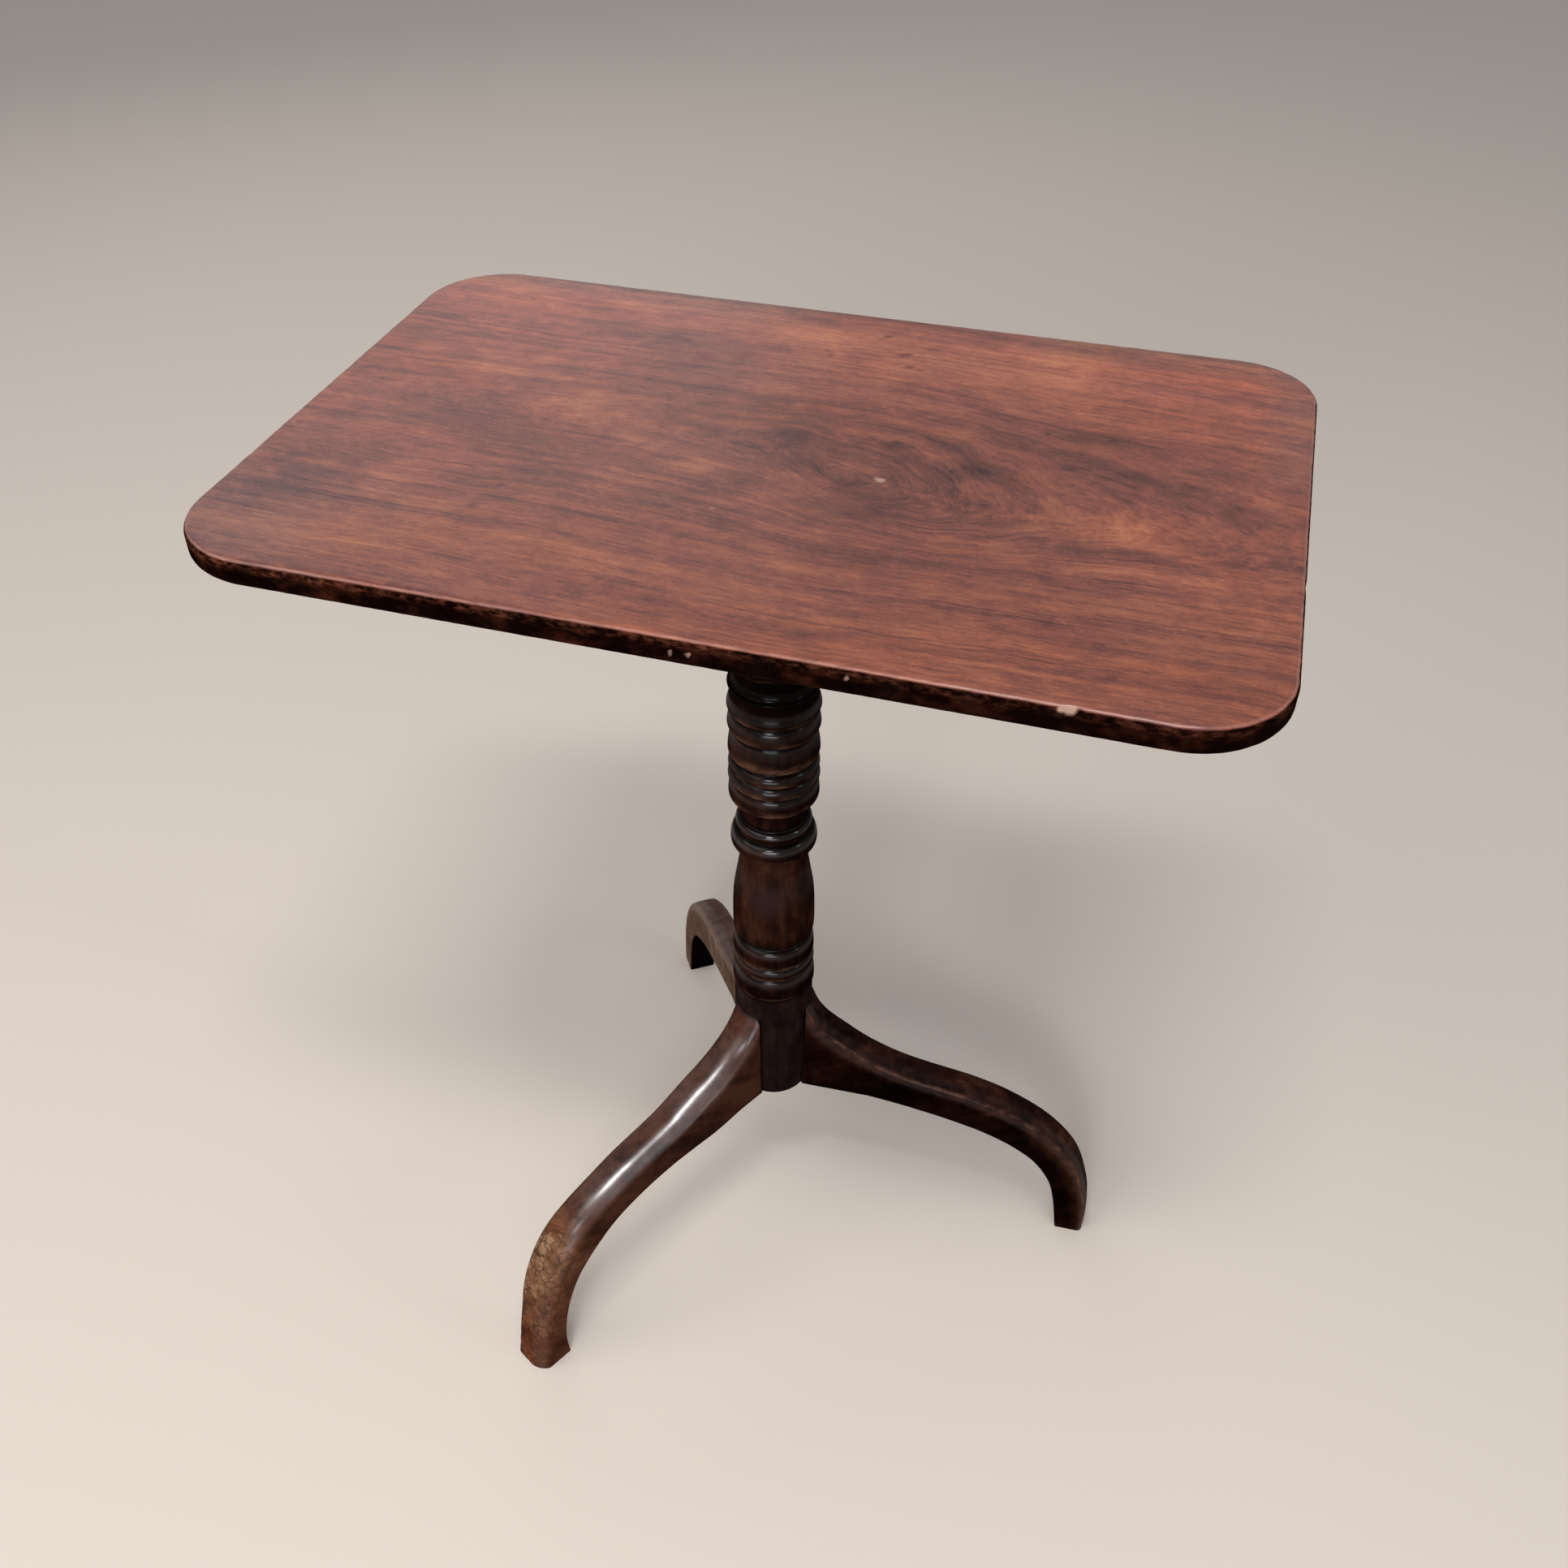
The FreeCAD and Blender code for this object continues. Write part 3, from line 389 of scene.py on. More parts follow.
# ---------------------------------------------------------------- turned pillar
BASE_R = 31.0
PROFILE = [
    [(0, 130.0), (25.5, 130.0)],
    [(25.5, 130.0), (28.6, 131.2), (30.5, 134.2), (31.0, 139.5)],
    [(31.0, 139.5), (31.0, 246.0)],
    [(31.0, 246.0), (31.0, 247.8)],
    [(31.0, 247.8), (31.9, 248.8), (32.2, 251.4), (32.1, 255.5), (31.7, 260.0), (30.9, 264.0), (29.6, 267.0), (28.2, 268.4)],
    [(28.2, 268.4), (28.2, 269.0)],
    [(28.2, 269.0), (30.9, 269.5)],
    [(30.9, 269.5), (31.4, 270.7), (31.4, 273.2), (31.0, 276.0), (30.0, 278.6), (28.3, 280.4)],
    [(28.3, 280.4), (28.3, 281.0)],
    [(28.3, 281.0), (30.8, 281.5)],
    [(30.8, 281.5), (31.3, 283.2), (31.3, 288.0), (31.0, 292.5), (30.3, 296.0), (29.0, 298.6), (26.9, 300.2)],
    [(26.9, 300.2), (26.9, 304.6)],
    [(26.9, 304.6), (30.2, 305.0)],
    [(30.2, 305.0), (30.9, 306.6), (31.25, 311.0), (31.3, 320.0), (31.05, 333.0), (30.5, 344.0),
     (29.7, 351.0), (28.7, 357.5), (27.5, 365.0), (26.3, 372.5), (25.5, 379.0), (25.1, 386.0), (25.3, 391.0),
     (26.2, 394.6)],
    [(26.2, 394.6), (30.9, 395.2)],
    [(30.9, 395.2), (31.6, 397.0), (31.8, 400.0), (31.3, 404.0), (29.8, 407.6), (27.4, 409.7)],
    [(27.4, 409.7), (26.3, 410.3)],
    [(26.3, 410.3), (27.5, 411.2), (28.2, 414.0), (27.7, 417.2), (26.0, 419.6)],
    [(26.0, 419.6), (24.5, 420.2)],
    [(24.5, 420.2), (24.5, 425.0), (24.7, 430.0), (25.4, 435.0), (26.6, 438.6), (28.6, 440.4)],
    [(28.6, 440.4), (32.0, 440.8)],
    [(32.0, 440.8), (32.6, 442.2), (32.6, 445.2), (32.3, 449.0), (31.5, 452.6), (30.2, 455.2), (29.0, 456.2)],
    [(29.0, 456.2), (29.0, 456.9)],
    [(29.0, 456.9), (32.2, 457.4)],
    [(32.2, 457.4), (32.8, 458.7), (32.7, 460.8), (31.9, 463.4), (30.6, 465.6), (29.1, 466.8)],
    [(29.1, 466.8), (29.1, 467.5)],
    [(29.1, 467.5), (31.9, 468.1)],
    [(31.9, 468.1), (32.5, 469.4), (32.3, 471.8), (31.4, 474.2), (30.0, 476.1), (28.8, 477.0)],
    [(28.8, 477.0), (28.8, 479.6)],
    [(28.8, 479.6), (31.8, 480.2)],
    [(31.8, 480.2), (32.5, 481.9), (32.4, 486.0), (31.9, 490.5), (31.2, 494.6), (30.4, 498.4), (29.2, 501.6)],
    [(29.2, 501.6), (29.2, 502.4)],
    [(29.2, 502.4), (32.0, 503.2)],
    [(32.0, 503.2), (32.7, 504.9), (32.5, 508.0), (31.8, 511.6), (30.8, 514.6), (29.4, 516.6)],
    [(29.4, 516.6), (29.4, 517.6)],
    [(29.4, 517.6), (32.0, 518.8)],
    [(32.0, 518.8), (32.9, 521.0), (32.5, 524.0), (31.4, 528.0), (30.8, 532.0), (31.3, 536.5), (32.2, 539.0)],
    [(32.2, 539.0), (32.4, 540.2)],
    [(32.4, 540.2), (30.0, 541.2), (28.3, 545.0), (27.9, 550.0), (28.7, 555.0), (30.8, 557.6)],
    [(30.8, 557.6), (32.6, 558.2)],
    [(32.6, 558.2), (33.0, 560.0), (32.9, 566.0), (32.2, 585.0), (31.0, 610.0), (29.4, 632.0), (28.6, 642.0)],
    [(28.6, 642.0), (30.8, 643.4)],
    [(30.8, 643.4), (33.0, 645.4), (33.6, 648.6), (32.8, 651.6), (30.9, 653.0)],
    [(30.9, 653.0), (30.9, 655.6)],
    [(30.9, 655.6), (33.6, 658.4), (34.4, 662.0), (34.2, 666.0)],
    [(34.2, 666.0), (15.0, 666.0)],
    [(15.0, 666.0), (15.0, 693.9)],
    [(15.0, 693.9), (0.0, 693.9)],
]
LEG_LINES = {
    "leg_right": dict(
        az=3.4, t=26.0, arris=3.2, arris_far=2.6, crown=0.5, crown_near=1.2, scuff=0.06, swell=0.0, lift=2.4, gloss=0.24, side_gloss=0.05, worn_line=0.9,
        upper=[(29.4, 225.4), (34.0, 213.4), (40.3, 203.5), (49.0, 194.6), (59.0, 187.4), (70.5, 179.2),
               (82.9, 172.1), (97.5, 165.6), (113.4, 160.4), (130.5, 156.6), (147.7, 153.5), (163.5, 150.4),
               (178.3, 146.4), (193.6, 141.0), (208.1, 134.0), (222.0, 125.8), (234.3, 116.3), (246.6, 103.6),
               (257.0, 89.1), (265.0, 73.2), (270.7, 56.9), (274.6, 41.0), (276.6, 25.3), (276.9, 12.0),
               (276.6, 0.0)],
        lower=[(253.2, 0.0), (250.6, 18.1), (247.2, 38.1), (240.6, 61.6), (226.0, 84.0), (206.4, 98.8),
               (183.2, 109.7), (153.9, 118.2), (128.0, 123.6), (104.0, 127.6), (84.0, 130.0)]),
    "leg_rear": dict(
        az=123.9, t=24.5, arris=4.0, arris_far=4.0, crown=0.4, crown_near=1.2, scuff=0.08, swell=0.0, lift=0.3, gloss=0.55, side_gloss=0.05, worn_line=0.5,
        upper=[(29.4, 225.4), (33.8, 213.4), (39.8, 203.5), (47.8, 194.8), (57.5, 187.4), (68.4, 179.3),
               (80.1, 172.0), (94.0, 165.2), (109.0, 159.8), (125.2, 155.6), (141.4, 152.3), (156.4, 148.9),
               (170.3, 144.7), (184.8, 139.1), (198.5, 132.0), (211.6, 123.8), (223.3, 114.3), (235.0, 101.6),
               (244.8, 87.1), (252.4, 71.4), (257.8, 55.5), (261.4, 40.0), (263.3, 24.9), (264.4, 12.0),
               (264.8, 0.0)],
        lower=[(241.8, 0.0), (238.6, 17.2), (235.1, 35.0), (228.6, 55.8), (215.5, 76.1), (196.9, 90.9),
               (175.0, 102.6), (147.3, 112.6), (122.0, 119.8), (100.0, 125.6), (84.0, 130.0)]),
    "leg_front_left": dict(
        az=241.9, t=27.0, arris=13.2, arris_far=3.4, crown=0.4, crown_near=2.9, scuff=1.0, swell=3.6, full=1.4, oval=0.60, lift=0.3, gloss=1.0,
        side_gloss=0.25, worn_line=0.25,
        upper=[(29.4, 225.4), (35.6, 215.0), (43.3, 206.1), (52.4, 199.0), (62.7, 193.1), (75.0, 187.8),
               (87.7, 183.5), (102.0, 178.0), (116.8, 172.6), (133.6, 168.6), (150.5, 165.5), (167.0, 162.4),
               (182.5, 158.0), (199.2, 152.4), (215.0, 145.1), (229.4, 135.6), (241.7, 123.1), (252.0, 107.8),
               (259.9, 90.6), (264.9, 73.6), (268.3, 56.1), (271.4, 40.2), (274.3, 24.8), (276.8, 12.0),
               (279.0, 0.0)],
        lower=[(248.9, 0.0), (250.2, 18.1), (248.7, 38.5), (242.5, 63.6), (230.6, 87.7), (211.9, 106.3),
               (188.2, 121.2), (156.6, 129.4), (128.0, 132.0), (104.0, 131.2), (84.0, 130.0)]),
}


def make_pillar():
    # profile points with a convexity number: + on worn edges, - down in grooves
    pts = []
    for seg in PROFILE:
        zmid = 0.5 * (seg[0][1] + seg[-1][1])
        step = 0.55 if zmid < 660 and zmid > 240 else 2.4
        if abs(seg[0][1] - seg[-1][1]) > 60:
            step = 2.4
        if len(seg) > 10 and seg[0][1] < 310 and seg[0][1] > 304:
            step = 1.2
        line = catmull(seg, step)
        if pts:
            line = line[1:]
        pts += line
    # soften the sharp edges as years of rubbing do
    soft = list(pts)
    for it in range(2):
        nxt = list(soft)
        for i in range(2, len(soft) - 2):
            r, z = soft[i]
            if z < 246 or z > 656 or r < 16:
                continue
            a, b = soft[i - 1], soft[i + 1]
            nxt[i] = (0.5 * r + 0.25 * (a[0] + b[0]), 0.5 * z + 0.25 * (a[1] + b[1]))
        soft = nxt
    m = len(soft)
    # local highest and lowest radius over +-4.5 mm of height
    hi, lo = [], []
    for i, (r, z) in enumerate(soft):
        near = [q[0] for q in soft[max(0, i - 14):i + 15] if abs(q[1] - z) < 4.5]
        hi.append(max(near))
        lo.append(min(near))
    NSEG = 156
    bm = bmesh.new()
    wear_and_painted_light, painted_shade, gloss = [], [], []
    # the sharp lower edge of each ring: height, how far the wear runs up it, how strong
    lips = [(247.8, 3.0, 0.7), (269.5, 3.4, 0.8), (281.5, 4.2, 0.8), (395.2, 3.0, 0.6), (410.3, 2.4, 0.5),
            (440.8, 4.6, 0.9), (457.4, 3.2, 0.9), (468.1, 3.2, 0.9), (480.2, 7.0, 1.0), (503.2, 4.6, 0.9),
            (518.8, 4.0, 0.5), (558.2, 4.0, 0.4), (643.4, 3.0, 0.4)]
    # painted shade under each ring's lower edge: height, how far down it reaches
    shade = [(247.6, 2.0), (269.3, 2.8), (281.3, 2.8), (304.8, 4.4), (395.0, 2.6), (410.0, 2.4), (440.6, 4.0),
             (457.2, 3.4), (467.9, 3.4), (480.0, 4.4), (503.0, 4.0), (518.6, 4.4), (541.0, 5.0), (558.0, 6.0),
             (643.2, 5.0), (656.0, 3.0)]
    rings = []
    for i, (r, z) in enumerate(soft):
        # the straight stretches need fewer rows than the rings
        if i % 3 and (132 < z < 238 or 312 < z < 384 or 566 < z < 638):
            continue
        if r < 0.01:
            v = bm.verts.new((AX * MM, AY * MM, z * MM))
            wear_and_painted_light.append(0.0)
            painted_shade.append(0.0)
            gloss.append(0.0)
            rings.append([v])
            continue
        c_, d_ = soft[max(0, i - 3)], soft[min(m - 1, i + 3)]
        w0, g0 = 0.0, 0.0
        # how far the surface here leans back: the upper shoulders of the rings keep their polish
        lean = (c_[0] - d_[0]) / max(0.2, math.hypot(d_[0] - c_[0], d_[1] - c_[1]))
        s0 = 0.02 + 0.98 * smooth01((lean - 0.08) / 0.26) if z > 247 else 0.05
        for ze, up, st in lips:
            if -0.4 < z - ze < up * 1.6:
                w0 = max(w0, st * math.exp(-(max(0.0, z - ze) / up) ** 2))
        for ze, down in shade:
            if -0.2 < ze - z < down * 2:
                g0 = max(g0, math.exp(-((ze - z) / (0.55 * down)) ** 2))
        # painted shade down in the grooves
        groove = smooth01((hi[i] - r - 1.2) / 1.4)
        g0 = max(g0, groove * 0.8)
        lipd = min(abs(z - ze) for ze, up, st in lips)
        sharp = smooth01((1.4 - lipd) / 1.0)
        ring = []
        for k in range(NSEG):
            a = 2 * math.pi * k / NSEG
            ca, sa = math.cos(a), math.sin(a)
            dr = 0.0
            if 246 < z < 660:
                dr = -0.06 + 0.05 * fbm(ca * 1.6, sa * 1.6, z / 30, 2, 11) - 0.05 * abs(n3(ca * 9, sa * 9, z / 7, 12))
                nick = n3(ca * 7 + 3, sa * 7, z / 3.2, 14)
                if sharp > 0.3 and nick > 0.30:
                    dr -= 1.5 * (nick - 0.30) * sharp
            rr = r + min(0.0, dr)
            g = g0
            # painted shade beside the legs' shoulders
            if 130 <= z < 224 and r > 25:
                for d in LEG_LINES.values():
                    la = math.radians(d["az"])
                    lat = -math.sin(la) * ca * r + math.cos(la) * sa * r
                    fo = math.cos(la) * ca + math.sin(la) * sa
                    if fo > 0:
                        g = max(g, math.exp(-((abs(lat) - d["t"] / 2) / 0.9) ** 2))
            # rubbed lower edges, made lighter on the front left side as painted light falling from the left
            side = 0.62 + 0.38 * math.cos(a - math.radians(225))
            w = w0 * side * (0.80 + 0.75 * n3(ca * 2.6, sa * 2.6, z / 14, 15)) if w0 > 0 else 0.0
            ring.append(bm.verts.new(((AX + rr * ca) * MM, (AY + rr * sa) * MM, z * MM)))
            wear_and_painted_light.append(max(0.0, w))
            painted_shade.append(g)
            kept = 0.30 + 0.70 * smooth01(0.35 + 0.9 * math.cos(a - math.radians(283)))
            kept *= 0.55 if z > 430 else (1.0 if z > 300 else 0.65)
            gloss.append(s0 * (1.0 - 0.9 * g) * kept)
        rings.append(ring)
    for a, b in zip(rings, rings[1:]):
        for k in range(NSEG):
            k2 = (k + 1) % NSEG
            if len(a) == 1:
                bm.faces.new((a[0], b[k2], b[k]))
            elif len(b) == 1:
                bm.faces.new((a[k], a[k2], b[0]))
            else:
                bm.faces.new((a[k], a[k2], b[k2], b[k]))
    ob = new_object("turned_pillar", bm)
    set_attr(ob, "wear_and_painted_light", wear_and_painted_light)
    set_attr(ob, "painted_shade", painted_shade)
    set_attr(ob, "gloss", gloss)
    return ob


pillar = make_pillar()
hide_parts("column")
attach(pillar, "stand")


# ---------------------------------------------------------------- legs
def make_leg(name, d, seed):
    NS, NL = 240, 0
    up = resample(catmull(d["upper"], 1.5), NS)
    bottom_line = catmull(list(reversed(d["lower"])), 1.5)
    bottom = resample([(27.0, 130.0)] + bottom_line, NS)
    # the two edges are paired so that the sections stand square to the leg
    t, ar = d["t"], d["arris"]
    az = math.radians(d["az"])
    ca, sa = math.cos(az), math.sin(az)
    # section: list of (side -1..1 with offsets, height fraction), built per station
    bm = bmesh.new()
    rings = []
    along, edge, scuff, painted_shade, low, gloss, worn, under = [], [], [], [], [], [], [], []
    for i in range(NS + 1):
        U, L = up[i], bottom[i]
        H = math.dist(U, L)
        e = ((U[0] - L[0]) / H, (U[1] - L[1]) / H)
        s = i / NS
        sec = []
        hw = t / 2
        # the front side has the rounder arris
        near_plus = name != "right_leg"
        a_n = min(ar, hw * 0.98, H * 0.45) * (1.0 + 0.06 * n3(s * 9, seed, 0, 3))
        a_f = min(d["arris_far"], hw * 0.8, H * 0.45)
        a_p, a_m = (a_n, a_f) if near_plus else (a_f, a_n)
        b_p = a_p * d.get("oval", 1.0)
        # the foot swells a little towards its outer side
        out = d["swell"] * smooth01((s - 0.48) / 0.20) * (1.0 - 0.30 * smooth01((s - 0.90) / 0.10))
        up_ = d["lift"] * smooth01((s - 0.04) / 0.08) * (1.0 - smooth01((s - 0.72) / 0.14))
        lr = 1.0
        NA, NF, NT, NB = 9, 14, 8, 8
        left, right_ = -hw - out, hw + d.get("full", 0.0) * smooth01((s - 0.06) / 0.12)
        top_h = H + up_
        for k in range(NB):
            sec.append((left + lr + (right_ - left - 2 * lr) * k / NB, 0.0, 0.0))
        for k in range(3):
            a = math.radians(90 * k / 3)
            sec.append((right_ - lr + lr * math.sin(a), lr - lr * math.cos(a), 0.6))
        for k in range(NF):
            sec.append((right_, lr + (top_h - lr - b_p) * k / NF, 0.0))
        for k in range(NA):
            a = math.radians(90 * k / NA)
            sec.append((right_ - a_p + a_p * math.cos(a), top_h - b_p + b_p * math.sin(a), math.sin(2 * a)))
        for k in range(NT):
            sec.append((right_ - a_p - (right_ - left - a_p - a_m) * k / NT, top_h, 0.0))
        for k in range(NA):
            a = math.radians(90 * k / NA)
            sec.append((left + a_m - a_m * math.sin(a), top_h - a_m + a_m * math.cos(a), math.sin(2 * a)))
        for k in range(NF):
            sec.append((left, top_h - a_m - (top_h - lr - a_m) * k / NF, 0.0))
        for k in range(3):
            a = math.radians(90 * k / 3)
            sec.append((left + lr - lr * math.cos(a), lr - lr * math.sin(a), 0.6))
        ring = []
        n = len(sec)
        for k, (y, h, ed) in enumerate(sec):
            # the upper face is crowned
            if h > H * 0.5:
                cr = d["crown_near"] if (y > 0) == near_plus else d["crown"]
                h -= cr * min(1.0, abs(y) / hw) ** 2.0 * (h - H * 0.5) / (H * 0.5) * smooth01((s - 0.02) / 0.10)
            # slight hand-worked unevenness and wear, always inwards
            q = (s * 26, y / 9, h / 9)
            ins_ = 0.04 + 0.06 * fbm(q[0], q[1], q[2], 2, seed)
            toe = smooth01((s - 0.80) / 0.2)
            ding = n3(s * 60, y / 4.5, h / 4.5, seed + 2)
            ins_ += (0.10 + 0.6 * toe) * ed * max(0.0, ding - 0.15) * 2.0
            ins_ += toe * 0.25 * max(0.0, n3(s * 90, y / 3, h / 3, seed + 4)) * 1.5
            cy, ch = 0.0, H / 2
            dy, dh = y - cy, h - ch
            m = max(abs(dy) / hw, abs(dh) / (H / 2))
            yy = y - ins_ * (1 if dy > 0 else -1) * smooth01((abs(dy) / hw - 0.6) / 0.4)
            hh = h - ins_ * (1 if dh > 0 else -1) * smooth01((abs(dh) / (H / 2) - 0.8) / 0.2)
            r = L[0] + e[0] * hh
            z = L[1] + e[1] * hh
            x_, y_ = ca * r - sa * yy, sa * r + ca * yy
            if i == NS:
                z = 0.0
            z = max(0.0, z)
            ring.append(bm.verts.new(((AX + x_) * MM, (AY + y_) * MM, z * MM)))
            along.append(s)
            edge.append(ed)
            # painted shade where the leg meets the pillar's drum
            rad = math.hypot(r, yy)
            painted_shade.append(math.exp(-((rad - BASE_R) / 1.1) ** 2) if rad > BASE_R else 1.0)
            low.append(smooth01((0.93 - h / H) / 0.30))
            # the underside, later made nearly black as dirt and painted shade
            under.append(smooth01((1.4 - h) / 1.2))
            # the polish is on the upper face and strongest over the front arris
            near = (y > 0) == near_plus
            g = smooth01((h / H - 0.74) / 0.12) * (0.22 + (0.78 * smooth01(abs(y) / hw / 0.34) if near else 0.0))
            if near and ed == 0.0 and h > H * 0.7:
                g = max(g, d["side_gloss"] * smooth01((h / H - 0.55) / 0.4))
            if d["scuff"] == 1.0:
                g *= (0.25 + 0.75 * smooth01((s - 0.08) / 0.12)) * (1.0 - 0.8 * smooth01((s - 0.47) / 0.10))
            gloss.append(max(g, 0.02) * d["gloss"])
            worn.append(ed * d["worn_line"] * (1.0 if near else 0.4) if h > H * 0.5 else 0.0)
            up_side = smooth01((h / H - 0.35) / 0.45)
            left = smooth01(0.65 - y / hw * 0.5)
            scuff.append(d["scuff"] * smooth01((s - 0.54) / 0.12) * (0.25 + 0.75 * up_side * left) *
                         (0.75 + 0.5 * smooth01((0.97 - s) / 0.1)))
        rings.append(ring)
    for i in range(NS):
        a, b = rings[i], rings[i + 1]
        n = len(a)
        for k in range(n):
            k2 = (k + 1) % n
            bm.faces.new((a[k], a[k2], b[k2], b[k]))
    bm.faces.new(list(reversed(rings[0])))
    # sole, with a small worn edge
    last = rings[-1]
    bm.faces.new(last)
    bmesh.ops.recalc_face_normals(bm, faces=bm.faces[:])
    ob = new_object(name, bm)
    for p in list(ob.data.polygons)[-2:]:
        p.use_smooth = False
    # sole edges stay sharp
    set_attr(ob, "along", along)
    set_attr(ob, "edge", edge)
    set_attr(ob, "scuff", scuff)
    set_attr(ob, "painted_shade", painted_shade)
    set_attr(ob, "low", low)
    set_attr(ob, "gloss", gloss)
    set_attr(ob, "worn", worn)
    set_attr(ob, "under", under)
    return ob


leg_objs = {}
for i, (n, d) in enumerate(LEG_LINES.items()):
    o = make_leg({"leg_right": "right_leg", "leg_rear": "rear_leg", "leg_front_left": "front_left_leg"}[n], d, 20.0 + 7 * i)
    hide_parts(n)
    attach(o, "stand")
    leg_objs[n] = o


# ---------------------------------------------------------------- small parts, edges eased
def eased(node, name, width, segments=2, body="stand"):
    src = nodes[node]
    bm = bmesh.new()
    bm.from_mesh(src.data)
    bmesh.ops.remove_doubles(bm, verts=bm.verts[:], dist=0.00001)
    bmesh.ops.dissolve_limit(bm, angle_limit=math.radians(1.5), verts=bm.verts[:], edges=bm.edges[:])
    ob = new_object(name, bm)
    md = ob.modifiers.new("ease", "BEVEL")
    md.width = width * MM
    md.segments = segments
    md.limit_method = "ANGLE"
    md.angle_limit = math.radians(35)
    md.harden_normals = True
    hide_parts(node)
    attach(ob, body)
    return ob


# ---------------------------------------------------------------- materials
class S:
    """A socket with arithmetic, so that a material can be written as a sum."""

    def __init__(self, mat, sock):
        self.mat, self.sock = mat, sock

    def __add__(self, o):
        return self.mat.math("ADD", self, o)

    __radd__ = __add__

    def __sub__(self, o):
        return self.mat.math("SUBTRACT", self, o)

    def __rsub__(self, o):
        return self.mat.math("SUBTRACT", o, self)

    def __mul__(self, o):
        return self.mat.math("MULTIPLY", self, o)

    __rmul__ = __mul__

    def __truediv__(self, o):
        return self.mat.math("DIVIDE", self, o)


class Mat:
    def __init__(self, name):
        self.m = bpy.data.materials.new(name)
        self.m.use_nodes = True
        self.t = self.m.node_tree
        self.bsdf = self.t.nodes["Principled BSDF"]
        self.n_nodes = 0

    def node(self, kind, **kw):
        n = self.t.nodes.new(kind)
        for k, v in kw.items():
            setattr(n, k, v)
        n.location = (-200 * (1 + self.n_nodes % 9), -160 * (self.n_nodes // 9))
        self.n_nodes += 1
        return n

    def put(self, sock, val):
        if isinstance(val, S):
            self.t.links.new(val.sock, sock)
        elif isinstance(val, (tuple, list)) and len(val) == 3 and sock.type == "RGBA":
            sock.default_value = (*val, 1.0)
        else:
            sock.default_value = val

    def math(self, op, a, b=0.0, c=None, clamp=False):
        n = self.node("ShaderNodeMath", operation=op, use_clamp=clamp)
        self.put(n.inputs[0], a)
        self.put(n.inputs[1], b)
        if c is not None:
            self.put(n.inputs[2], c)
        return S(self, n.outputs[0])

    def coord(self):
        n = self.node("ShaderNodeTexCoord")
        return S(self, n.outputs["Object"])

    def mapping(self, v, loc=(0, 0, 0), rot_=(0, 0, 0), scale=(1, 1, 1)):
        n = self.node("ShaderNodeMapping")
        self.put(n.inputs["Vector"], v)
        n.inputs["Location"].default_value = loc
        n.inputs["Rotation"].default_value = rot_
        n.inputs["Scale"].default_value = scale
        return S(self, n.outputs[0])

    def sep(self, v):
        n = self.node("ShaderNodeSeparateXYZ")
        self.put(n.inputs[0], v)
        return [S(self, o) for o in n.outputs]

    def comb(self, x, y, z):
        n = self.node("ShaderNodeCombineXYZ")
        for s, v in zip(n.inputs, (x, y, z)):
            self.put(s, v)
        return S(self, n.outputs[0])

    def noise(self, v, scale=5.0, detail=2.0, rough=0.5, dist=0.0):
        n = self.node("ShaderNodeTexNoise")
        self.put(n.inputs["Vector"], v)
        n.inputs["Scale"].default_value = scale
        n.inputs["Detail"].default_value = detail
        n.inputs["Roughness"].default_value = rough
        n.inputs["Distortion"].default_value = dist
        return S(self, n.outputs[0])

    def voronoi(self, v, scale=5.0, feature="F1"):
        n = self.node("ShaderNodeTexVoronoi", feature=feature)
        self.put(n.inputs["Vector"], v)
        n.inputs["Scale"].default_value = scale
        return S(self, n.outputs["Distance"])

    def attr(self, name):
        n = self.node("ShaderNodeAttribute", attribute_name=name)
        return S(self, n.outputs["Fac"])

    def rng(self, v, a, b, c=0.0, d=1.0, smooth=False):
        n = self.node("ShaderNodeMapRange", clamp=True)
        if smooth:
            n.interpolation_type = "SMOOTHSTEP"
        self.put(n.inputs["Value"], v)
        for k, x in zip(("From Min", "From Max", "To Min", "To Max"), (a, b, c, d)):
            self.put(n.inputs[k], x)
        return S(self, n.outputs[0])

    def ramp(self, v, stops):
        n = self.node("ShaderNodeValToRGB")
        self.put(n.inputs[0], v)
        e = n.color_ramp.elements
        while len(e) < len(stops):
            e.new(0.5)
        for el, (p, c) in zip(e, stops):
            el.position = p
            el.color = (*c, 1.0)
        return S(self, n.outputs[0])

    def mix(self, f, a, b, mode="MIX"):
        n = self.node("ShaderNodeMix", data_type="RGBA", blend_type=mode)
        self.put(n.inputs[0], f)
        self.put(n.inputs[6], a)
        self.put(n.inputs[7], b)
        return S(self, n.outputs[2])

    def bump(self, h, dist=0.0002, strength=1.0, prev=None):
        n = self.node("ShaderNodeBump")
        n.inputs["Strength"].default_value = strength
        n.inputs["Distance"].default_value = dist
        self.put(n.inputs["Height"], h)
        if prev is not None:
            self.put(n.inputs["Normal"], prev)
        return S(self, n.outputs[0])

    def finish(self, color, rough, normal=None, **const):
        self.put(self.bsdf.inputs["Base Color"], color)
        self.put(self.bsdf.inputs["Roughness"], rough)
        if normal is not None:
            self.put(self.bsdf.inputs["Normal"], normal)
        for k, v in const.items():
            self.bsdf.inputs[k.replace("_", " ")].default_value = v
        return self.m


